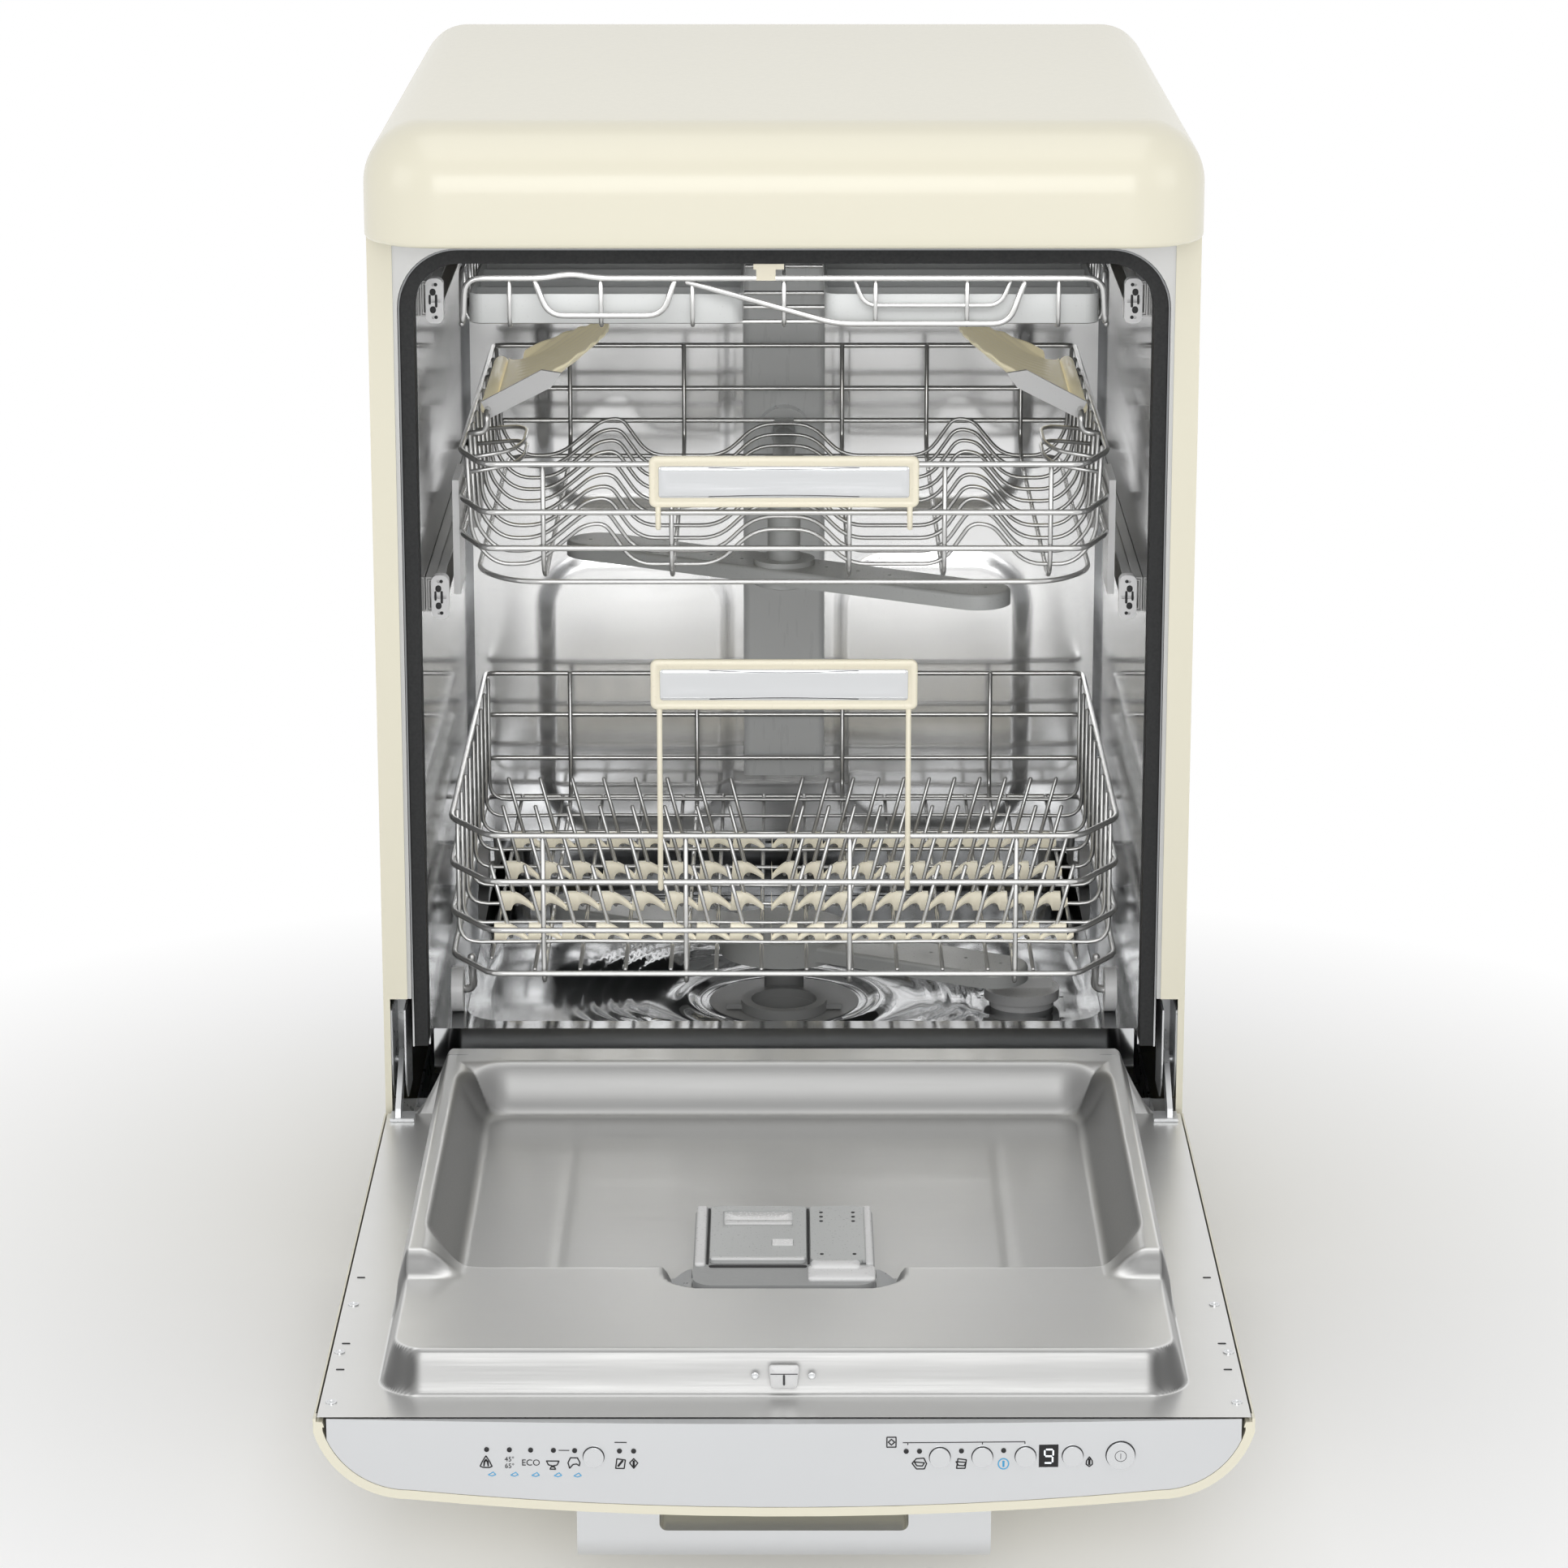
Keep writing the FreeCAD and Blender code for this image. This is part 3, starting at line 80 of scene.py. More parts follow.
@dataclass(frozen=True)
class Finish:
    """A procedural surface: a slightly uneven colour, broken gloss and fine relief.

    Attributes:
        slot: The record's slot that the finish belongs to.
        colour: Linear base colour.
        metal: Metallic amount, 0 or 1.
        rough: Lowest and highest roughness.
        grain: Noise frequencies along X, Y and Z in cycles per metre, unequal for brushed metal.
        relief: Bump strength.
        depth: Bump distance in metres.
        vary: How far the colour drifts, as a share.
        coat: Clear coat weight.
        light: Strength of the surface's own glow, painted light on parts that give none, real light on the display's
            digit.
        shade: Name of a vertex attribute of painted shade that multiplies the colour, or nothing.
    """

    slot: Slot
    colour: tuple[float, float, float]
    metal: float = 0.0
    rough: tuple[float, float] = (0.3, 0.45)
    grain: tuple[float, float, float] = (60.0, 60.0, 60.0)
    relief: float = 0.05
    depth: float = 0.0002
    vary: float = 0.04
    coat: float = 0.0
    light: float = 0.0
    shade: str = ""

    def material(self) -> bpy.types.Material:
        """Build the node tree, or return the one already made.

        Returns:
            The finished material.
        """
        name = "finish_" + self.slot.value
        if self.light:
            name += "_lit"
        name += "_%d" % (hash((self.colour, self.rough, self.grain)) % 9973)
        found = bpy.data.materials.get(name)
        if found:
            return found
        material = bpy.data.materials.new(name)
        material.use_nodes = True
        tree = material.node_tree
        shader = tree.nodes["Principled BSDF"]
        shader.inputs["Metallic"].default_value = self.metal
        shader.inputs["Coat Weight"].default_value = self.coat
        shader.inputs["Coat Roughness"].default_value = 0.06
        place = tree.nodes.new("ShaderNodeTexCoord")
        turn = tree.nodes.new("ShaderNodeMapping")
        turn.inputs["Scale"].default_value = self.grain
        tree.links.new(place.outputs["Object"], turn.inputs["Vector"])
        grain = self._noise(tree, turn.outputs["Vector"], 1.0, 6.0)
        broad = self._noise(tree, place.outputs["Object"], 9.0, 3.0)
        ramp = tree.nodes.new("ShaderNodeMapRange")
        ramp.inputs["From Min"].default_value = 0.3
        ramp.inputs["From Max"].default_value = 0.7
        ramp.inputs["To Min"].default_value = self.rough[0]
        ramp.inputs["To Max"].default_value = self.rough[1]
        tree.links.new(grain, ramp.inputs["Value"])
        tree.links.new(ramp.outputs["Result"], shader.inputs["Roughness"])
        blend = tree.nodes.new("ShaderNodeMix")
        blend.data_type = "RGBA"
        blend.inputs["A"].default_value = (*[c * (1 - self.vary) for c in self.colour], 1)
        blend.inputs["B"].default_value = (*[min(1.0, c * (1 + self.vary)) for c in self.colour], 1)
        tree.links.new(broad, blend.inputs["Factor"])
        colour = blend.outputs["Result"]
        # Painted shade: the named vertex attribute darkens the colour where the surface stands in shade.
        if self.shade:
            reader = tree.nodes.new("ShaderNodeAttribute")
            reader.attribute_name = self.shade
            product = tree.nodes.new("ShaderNodeMix")
            product.data_type = "RGBA"
            product.blend_type = "MULTIPLY"
            product.inputs["Factor"].default_value = 1.0
            tree.links.new(colour, product.inputs["A"])
            tree.links.new(reader.outputs["Fac"], product.inputs["B"])
            colour = product.outputs["Result"]
        tree.links.new(colour, shader.inputs["Base Color"])
        bump = tree.nodes.new("ShaderNodeBump")
        bump.inputs["Strength"].default_value = self.relief
        bump.inputs["Distance"].default_value = self.depth
        tree.links.new(grain, bump.inputs["Height"])
        tree.links.new(bump.outputs["Normal"], shader.inputs["Normal"])
        # Glow in the surface's own colour: painted light, except on the display's digit, which really gives light.
        if self.light:
            shader.inputs["Emission Color"].default_value = (*self.colour, 1)
            shader.inputs["Emission Strength"].default_value = self.light
        return material

    def _noise(self, tree: bpy.types.NodeTree, vector: bpy.types.NodeSocket, scale: float,
               detail: float) -> bpy.types.NodeSocket:
        """Add one noise texture.

        Args:
            tree: The material's nodes.
            vector: Where the noise is read.
            scale: Its frequency.
            detail: Its octaves.

        Returns:
            The noise value's socket.
        """
        noise = tree.nodes.new("ShaderNodeTexNoise")
        noise.inputs["Scale"].default_value = scale
        noise.inputs["Detail"].default_value = detail
        tree.links.new(vector, noise.inputs["Vector"])
        return noise.outputs["Fac"]


ENAMEL = Finish(Slot.ENAMEL, (0.78, 0.745, 0.605), rough=(0.25, 0.27), grain=(220, 220, 220), relief=0.006,
                depth=0.0001, vary=0.004, coat=0.15)
STEEL = Finish(Slot.STEEL, (0.52, 0.52, 0.51), metal=0.55, rough=(0.36, 0.44), grain=(14, 1400, 900), relief=0.05,
               depth=0.00005, vary=0.03)
# Painted light and shade: a lighter copy of the stainless so flat faces read bright, darkened on walls and the pan
# floor by the painted-shade vertex attribute.
LINER_STEEL = Finish(Slot.STEEL, (0.76, 0.76, 0.75), metal=0.72, rough=(0.28, 0.36), grain=(14, 1400, 900),
                     relief=0.05, depth=0.00005, vary=0.02, shade="shade")
# Painted light: a near-white copy of the stainless, so the back wall reads brightly lit.
BACK_STEEL_PAINTED_LIGHT = Finish(Slot.STEEL, (0.93, 0.93, 0.93), metal=0.8, rough=(0.14, 0.22), grain=(5, 5, 40), relief=0.04,
                    depth=0.0004, vary=0.05)
# Painted shade: a darkened copy of the stainless for the tub's walls and floor, which lie in the chamber's shade.
MIRROR_STEEL_PAINTED_SHADE = Finish(Slot.STEEL, (0.27, 0.275, 0.28), metal=1.0, rough=(0.06, 0.12), grain=(6, 6, 60),
                      relief=0.05, depth=0.0005, vary=0.06)
ZINC = Finish(Slot.ZINC, (0.62, 0.63, 0.64), metal=0.4, rough=(0.25, 0.4), grain=(90, 90, 90), relief=0.08,
              vary=0.06)
FASCIA = Finish(Slot.FASCIA, (0.66, 0.67, 0.68), metal=0.6, rough=(0.32, 0.4), grain=(12, 900, 1800),
                relief=0.05, depth=0.00004, vary=0.02)
CHROME = Finish(Slot.CHROME, (0.7, 0.71, 0.72), metal=0.85, rough=(0.14, 0.22), grain=(20, 600, 600), relief=0.02,
                depth=0.00004, vary=0.02)
WIRE = Finish(Slot.WIRE, (0.62, 0.62, 0.61), metal=0.7, rough=(0.16, 0.26), grain=(120, 120, 120), relief=0.01,
              depth=0.00005, vary=0.04)
RUBBER = Finish(Slot.RUBBER, (0.004, 0.0045, 0.005), rough=(0.55, 0.7), grain=(500, 500, 500), relief=0.1,
                depth=0.0001, vary=0.2)
GREY = Finish(Slot.GREY, (0.34, 0.345, 0.345), rough=(0.28, 0.4), grain=(500, 500, 500), relief=0.04,
              depth=0.00008)
# Painted light: the water duct glows faintly, though it gives no light.
DUCT_PAINTED_GLOW = Finish(Slot.GREY, (0.6, 0.61, 0.61), rough=(0.25, 0.36), grain=(200, 200, 30), relief=0.04,
              depth=0.00008, vary=0.06, light=0.1)
PALE_GREY = Finish(Slot.GREY, (0.5, 0.51, 0.505), rough=(0.26, 0.36), grain=(500, 500, 500), relief=0.04,
                   depth=0.00008)
LIGHT_GREY = Finish(Slot.LIGHT_GREY, (0.72, 0.72, 0.72), rough=(0.26, 0.36), grain=(500, 500, 500), relief=0.04,
                    depth=0.00008)
DARK = Finish(Slot.DARK, (0.03, 0.03, 0.033), rough=(0.35, 0.5), grain=(700, 700, 700), relief=0.08)
CREAM = Finish(Slot.CREAM, (0.93, 0.87, 0.7), rough=(0.26, 0.36), grain=(400, 400, 400), relief=0.03,
               depth=0.0001, vary=0.02)
# Painted light: the cup flaps glow, standing in for light their shaded tops do not get.
LEAF_PAINTED_GLOW = Finish(Slot.CREAM, (0.92, 0.84, 0.6), rough=(0.3, 0.42), grain=(320, 60, 320), relief=0.12,
              depth=0.0004, vary=0.05, light=0.22)
# Painted light: a lighter copy of the cream plastic that also glows, so the toothed strips read lit inside the shaded
# basket.
STRIP_PAINTED_LIGHT = Finish(Slot.CREAM, (0.95, 0.89, 0.72), rough=(0.26, 0.36), grain=(401, 400, 400), relief=0.03,
               depth=0.0001, vary=0.02, light=0.25)
WHITE = Finish(Slot.WHITE, (0.85, 0.85, 0.85), rough=(0.2, 0.3), grain=(600, 600, 600), relief=0.03)
DISPLAY = Finish(Slot.DISPLAY, (0.004, 0.004, 0.005), rough=(0.1, 0.2), grain=(400, 400, 400), relief=0.01)
BOARD = Finish(Slot.BOARD, (0.03, 0.15, 0.05), rough=(0.4, 0.6), grain=(600, 600, 600), relief=0.2, vary=0.2)
INK = Finish(Slot.DARK, (0.006, 0.006, 0.007), rough=(0.5, 0.6), grain=(900, 900, 900), relief=0.0)
BLUE_INK = Finish(Slot.DARK, (0.08, 0.42, 0.72), rough=(0.5, 0.6), grain=(901, 900, 900), relief=0.0)
WHITE_INK = Finish(Slot.WHITE, (0.85, 0.9, 0.95), rough=(0.3, 0.4), grain=(300, 301, 300), relief=0.0, light=0.7)


# ------------------------------------------------------------------ mesh tools


def smoothstep(value: np.ndarray, low: float, high: float) -> np.ndarray:
    """Rise from 0 at low to 1 at high along 3t^2 - 2t^3.

    Args:
        value: Where it is read.
        low: Where the rise starts.
        high: Where it ends.

    Returns:
        The eased share, 0 to 1.
    """
    share = np.clip((value - low) / (high - low), 0.0, 1.0)
    return share * share * (3 - 2 * share)


def inside_depth(x: np.ndarray, y: np.ndarray, box: tuple[float, float, float, float],
                 corner: float) -> np.ndarray:
    """Distance inwards from the edge of a round-cornered rectangle.

    The rectangle is shrunk by its corner radius; the distance to what is left, less the radius, is negative
    inside, and its sign is turned over here.

    Args:
        x: Plan positions along X.
        y: Plan positions along Y.
        box: Lowest x, highest x, lowest y, highest y.
        corner: Corner radius.

    Returns:
        Positive depth inside, negative distance outside.
    """
    dx = np.abs(x - (box[0] + box[1]) / 2) - (box[1] - box[0]) / 2 + corner
    dy = np.abs(y - (box[2] + box[3]) / 2) - (box[3] - box[2]) / 2 + corner
    outside = np.hypot(np.maximum(dx, 0), np.maximum(dy, 0))
    return corner - outside - np.minimum(np.maximum(dx, dy), 0)


def put_mesh(name: str, points: np.ndarray, faces: np.ndarray, smooth: bool = True,
             closed: bool = False) -> bpy.types.Object:
    """Put worked-out vertices and quads into a new object.

    Args:
        name: The object's name.
        points: Vertices, one row each.
        faces: Quads as vertex numbers, one row each.
        smooth: Whether faces are shaded smooth.
        closed: Whether it encloses a volume, so that its seams are joined and its faces turned outwards.

    Returns:
        The object, linked and at the origin.
    """
    mesh = bpy.data.meshes.new(name)
    mesh.from_pydata(points.reshape(-1, 3).tolist(), [], faces.tolist())
    mesh.polygons.foreach_set("use_smooth", np.full(len(mesh.polygons), smooth))
    mesh.update()
    if closed:
        work = bmesh.new()
        work.from_mesh(mesh)
        bmesh.ops.remove_doubles(work, verts=work.verts, dist=1e-6)
        bmesh.ops.recalc_face_normals(work, faces=work.faces)
        work.to_mesh(mesh)
        work.free()
    made = bpy.data.objects.new(name, mesh)
    bpy.context.scene.collection.objects.link(made)
    return made


def grid_faces(rows: int, columns: int, wrap_rows: bool = False, wrap_columns: bool = False,
               start: int = 0) -> np.ndarray:
    """Quads of a grid of vertices numbered row by row.

    Args:
        rows: Number of rows.
        columns: Number of columns.
        wrap_rows: Whether the last row joins the first.
        wrap_columns: Whether the last column joins the first.
        start: Number of the grid's first vertex.

    Returns:
        One quad per cell.
    """
    i = np.arange(rows if wrap_rows else rows - 1)[:, None]
    j = np.arange(columns if wrap_columns else columns - 1)[None, :]
    i2, j2 = (i + 1) % rows, (j + 1) % columns
    quads = np.stack(np.broadcast_arrays(i * columns + j, i * columns + j2, i2 * columns + j2, i2 * columns + j),
                     axis=-1)
    return quads.reshape(-1, 4) + start


def bent_path(corners: list[tuple[float, float, float]], bend: float, closed: bool = False,
              steps: int = 6) -> np.ndarray:
    """A wire's centreline: straight runs joined by round bends.

    Each corner is left and rejoined at the bend's tangent length; between them the line follows the quadratic
    (1-t)^2 a + 2t(1-t) b + t^2 c.

    Args:
        corners: The run's corner points.
        bend: Distance from a corner at which the bend starts.
        closed: Whether the wire is a ring.
        steps: Points in each bend.

    Returns:
        Points along the wire.
    """
    points = np.array(corners, float)
    before = np.roll(points, 1, axis=0)
    after = np.roll(points, -1, axis=0)
    to_before, to_after = before - points, after - points
    far_before = np.linalg.norm(to_before, axis=1, keepdims=True)
    far_after = np.linalg.norm(to_after, axis=1, keepdims=True)
    reach = np.minimum(bend, 0.45 * np.minimum(far_before, far_after))
    a = points + to_before / far_before * reach
    c = points + to_after / far_after * reach
    t = np.linspace(0, 1, steps)[None, :, None]
    curved = (1 - t) ** 2 * a[:, None] + 2 * t * (1 - t) * points[:, None] + t ** 2 * c[:, None]
    if closed:
        return curved.reshape(-1, 3)
    return np.concatenate([points[:1], curved[1:-1].reshape(-1, 3), points[-1:]])


def swept_tube(path: np.ndarray, radius: float, closed: bool = False,
               around: int = 8) -> tuple[np.ndarray, np.ndarray]:
    """A round bar along a path: centre + r cos(a) side + r sin(a) up at each point, with domed ends.

    Args:
        path: Points along the centreline.
        radius: The bar's radius.
        closed: Whether the path is a ring.
        around: Vertices round the bar.

    Returns:
        Vertices and quads.
    """
    if closed:
        along = np.roll(path, -1, axis=0) - np.roll(path, 1, axis=0)
    else:
        along = np.gradient(path, axis=0)
    along /= np.linalg.norm(along, axis=1, keepdims=True) + 1e-12
    up = np.array([0.0, 0.0, 1.0])
    spread = np.ptp(path, axis=0)
    up = np.eye(3)[int(np.argmin(spread))]
    side = np.cross(along, up)
    weak = np.linalg.norm(side, axis=1) < 1e-3
    side[weak] = np.cross(along[weak], np.array([0.37, 0.61, 0.7]))
    side /= np.linalg.norm(side, axis=1, keepdims=True)
    top = np.cross(side, along)
    angle = np.linspace(0, 2 * math.pi, around, endpoint=False)
    scale = np.full(len(path), radius)
    centres = path
    if not closed:
        centres = np.concatenate([path[:1] - along[:1] * radius * 0.6, path, path[-1:] + along[-1:] * radius * 0.6])
        side = np.concatenate([side[:1], side, side[-1:]])
        top = np.concatenate([top[:1], top, top[-1:]])
        scale = np.concatenate([[radius * 0.35], scale, [radius * 0.35]])
    ring = (np.cos(angle)[None, :, None] * side[:, None] + np.sin(angle)[None, :, None] * top[:, None])
    points = centres[:, None] + ring * scale[:, None, None]
    faces = grid_faces(len(centres), around, wrap_rows=closed, wrap_columns=True)
    points = points.reshape(-1, 3)
    if not closed:
        count = len(points)
        points = np.concatenate([points, centres[:1], centres[-1:]])
        k = np.arange(0, around, 2)
        first = np.stack([np.full_like(k, count), (k + 2) % around, k + 1, k], axis=1)
        base = (len(centres) - 1) * around
        last = np.stack([np.full_like(k, count + 1), base + k, base + k + 1, base + (k + 2) % around], axis=1)
        faces = np.concatenate([faces, first, last])
    return points, faces


class Bundle:
    """Several tubes or surfaces gathered into one mesh."""

    def __init__(self) -> None:
        """Start empty."""
        self.points: list[np.ndarray] = []
        self.faces: list[np.ndarray] = []
        self.count = 0

    def add(self, points: np.ndarray, faces: np.ndarray) -> None:
        """Add one surface.

        Args:
            points: Its vertices.
            faces: Its quads.
        """
        points = points.reshape(-1, 3)
        self.points.append(points)
        self.faces.append(faces + self.count)
        self.count += len(points)

    def wire(self, corners: list[tuple[float, float, float]], radius: float, bend: float = 0.012,
             closed: bool = False, around: int = 8) -> None:
        """Add one bent wire.

        Args:
            corners: Its corner points.
            radius: Its radius.
            bend: How far from a corner it starts to bend.
            closed: Whether it is a ring.
            around: Vertices round it.
        """
        self.add(*swept_tube(bent_path(corners, bend, closed), radius, closed, around))

    def make(self, name: str, body: str, finish: Finish, nodes: tuple[str, ...] = (),
             smooth: bool = True) -> bpy.types.Object:
        """Make the object and dress it.

        Args:
            name: The object's name.
            body: The CAD body it moves with.
            finish: Its finish.
            nodes: CAD nodes it stands for.
            smooth: Whether faces are shaded smooth.

        Returns:
            The finished piece.
        """
        made = put_mesh(name, np.concatenate(self.points), np.concatenate(self.faces), smooth, True)
        return dress(made, body, finish, nodes)


class Facing(Enum):
    """Which way a flat-drawn piece looks once it is placed."""

    FRONT = "front"
    UP = "up"


def rounded_shell(centre: tuple[float, float, float], half: tuple[float, float], corner: float,
                  profile: list[tuple[float, float]], facing: Facing = Facing.FRONT,
                  part: int = 10) -> tuple[np.ndarray, np.ndarray]:
    """A plate or button from rings of a round-cornered rectangle.

    Each ring is the outline shrunk by its inset, at its own height: corner centre + radius (cos a, sin a).

    Args:
        centre: Middle of the outline at height 0.
        half: Half width and half height of the outline.
        corner: Corner radius.
        profile: (inset, height) of each ring, height growing towards the viewer.
        facing: Whether heights run to the front or up.
        part: Points in each corner.

    Returns:
        Vertices and quads.
    """
    rings = np.array(profile, float)
    inset, height = rings[:, 0], rings[:, 1]
    angle = np.radians(np.array([0, 90, 180, 270])[:, None] + np.linspace(0, 90, part)[None, :]).ravel()
    sign_u = np.repeat([1, -1, -1, 1], part)
    sign_v = np.repeat([1, 1, -1, -1], part)
    radius = np.maximum(corner - inset, 0.0)[:, None]
    wide = np.maximum(half[0] - inset[:, None] - radius, 0.0)
    tall = np.maximum(half[1] - inset[:, None] - radius, 0.0)
    u = sign_u * wide + radius * np.cos(angle)
    v = sign_v * tall + radius * np.sin(angle)
    w = np.broadcast_to(height[:, None], u.shape)
    if facing is Facing.FRONT:
        points = np.stack([centre[0] + u, centre[1] - w, centre[2] + v], axis=-1)
    else:
        points = np.stack([centre[0] + u, centre[1] + v, centre[2] + w], axis=-1)
    return points, grid_faces(points.shape[0], points.shape[1], wrap_columns=True)


def spot(centre: tuple[float, float, float], half: tuple[float, float], lift: float,
         facing: Facing = Facing.FRONT) -> tuple[np.ndarray, np.ndarray]:
    """A small low pad with rounded ends, used for dots, slots and screw heads.

    Args:
        centre: Its middle on the surface.
        half: Half width and half height.
        lift: How far it stands proud.
        facing: Whether it looks to the front or up.

    Returns:
        Vertices and quads.
    """
    small = min(half)
    profile = [(small, -0.0002), (0.0, -0.0002), (0.0, lift * 0.7), (small * 0.25, lift), (small, lift)]
    return rounded_shell(centre, half, small, profile, facing, 6)


def dress(piece: bpy.types.Object, body: str, finish: Finish, nodes: tuple[str, ...] = ()) -> bpy.types.Object:
    """Give a piece its finish, whose material is named after the finish's slot, and its body.

    Args:
        piece: The object.
        body: The CAD body it moves with.
        finish: Its finish.
        nodes: CAD nodes it stands for.

    Returns:
        The same object.
    """
    piece.data.materials.clear()
    piece.data.materials.append(finish.material())
    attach(piece, body)
    if nodes:
        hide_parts(*nodes)
    LOG.info("%s rides on %s", piece.name, body)
    return piece


def tight_bevel(piece: bpy.types.Object, width: float, segments: int = 2) -> None:
    """Round a piece's sharp edges.

    Args:
        piece: The object.
        width: Bevel width.
        segments: Steps across it.
    """
    bevel = piece.modifiers.new("edge", "BEVEL")
    bevel.width = width
    bevel.segments = segments
    bevel.limit_method = "ANGLE"


# ------------------------------------------------------------------ carried-over CAD nodes


@dataclass
class CarriedNodes:
    """Finishes of the CAD nodes that keep their own mesh."""

    finishes: dict[str, Finish] = field(default_factory=lambda: {
        "top_cover": ENAMEL, "side_panel_left": ENAMEL, "side_panel_right": ENAMEL, "plinth": ENAMEL,
        "door_outer_panel": ENAMEL, "tub": MIRROR_STEEL_PAINTED_SHADE, "front_frame": STEEL, "door_liner": STEEL,
        "door_gasket": RUBBER, "back_panel": ZINC, "base_tray": ZINC, "door_frame": ZINC,
        "hinge_arms": ZINC, "hinge_brackets": ZINC, "water_duct": DUCT_PAINTED_GLOW, "sump": GREY,
        "filter_cylinder": GREY, "softener": WHITE, "salt_cap": LIGHT_GREY, "circulation_pump": DARK,
        "drain_pump": DARK, "rear_connections": DARK, "levelling_feet": DARK, "control_fascia": FASCIA,
        "handle": CHROME, "program_button": CHROME, "option_button_1": CHROME, "option_button_2": CHROME,
        "option_button_3": CHROME, "start_button": CHROME, "power_button": CHROME, "display_window": DISPLAY,
        "control_board": BOARD, "dispenser_body": GREY, "detergent_lid": PALE_GREY, "rinse_aid_lid": PALE_GREY,
        "lid_button": WHITE, "door_hardware": CHROME, "latch_catch": CREAM, "lower_basket_wires": WIRE,
        "lower_basket_handle": CREAM, "tine_strips": CREAM, "front_wheels": LIGHT_GREY, "rear_wheels": LIGHT_GREY,
        "upper_basket_wires": WIRE, "upper_basket_handle": CREAM, "height_adjusters": LIGHT_GREY,
        "spray_pipe": PALE_GREY, "cup_flap_left": LEAF_PAINTED_GLOW, "cup_flap_right": LEAF_PAINTED_GLOW, "upper_runners": STEEL,
        "upper_rail_caps": LIGHT_GREY, "tray_runners": STEEL, "tray_rail_caps": LIGHT_GREY,
        "wall_rails": STEEL, "top_tray_frame": WIRE, "top_tray_inserts": PALE_GREY, "upper_spray_arm": PALE_GREY,
        "lower_spray_arm": PALE_GREY, "top_spray_arm": PALE_GREY})

    def dress(self) -> None:
        """Put each finish on its node's own material slots."""
        for name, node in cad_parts.items():
            finish = self.finishes[name]
            material = finish.material()
            if not node.data.materials:
                node.data.materials.append(material)
            for i in range(len(node.data.materials)):
                node.data.materials[i] = material
            LOG.info("%s keeps its mesh", name)


# ------------------------------------------------------------------ cabinet


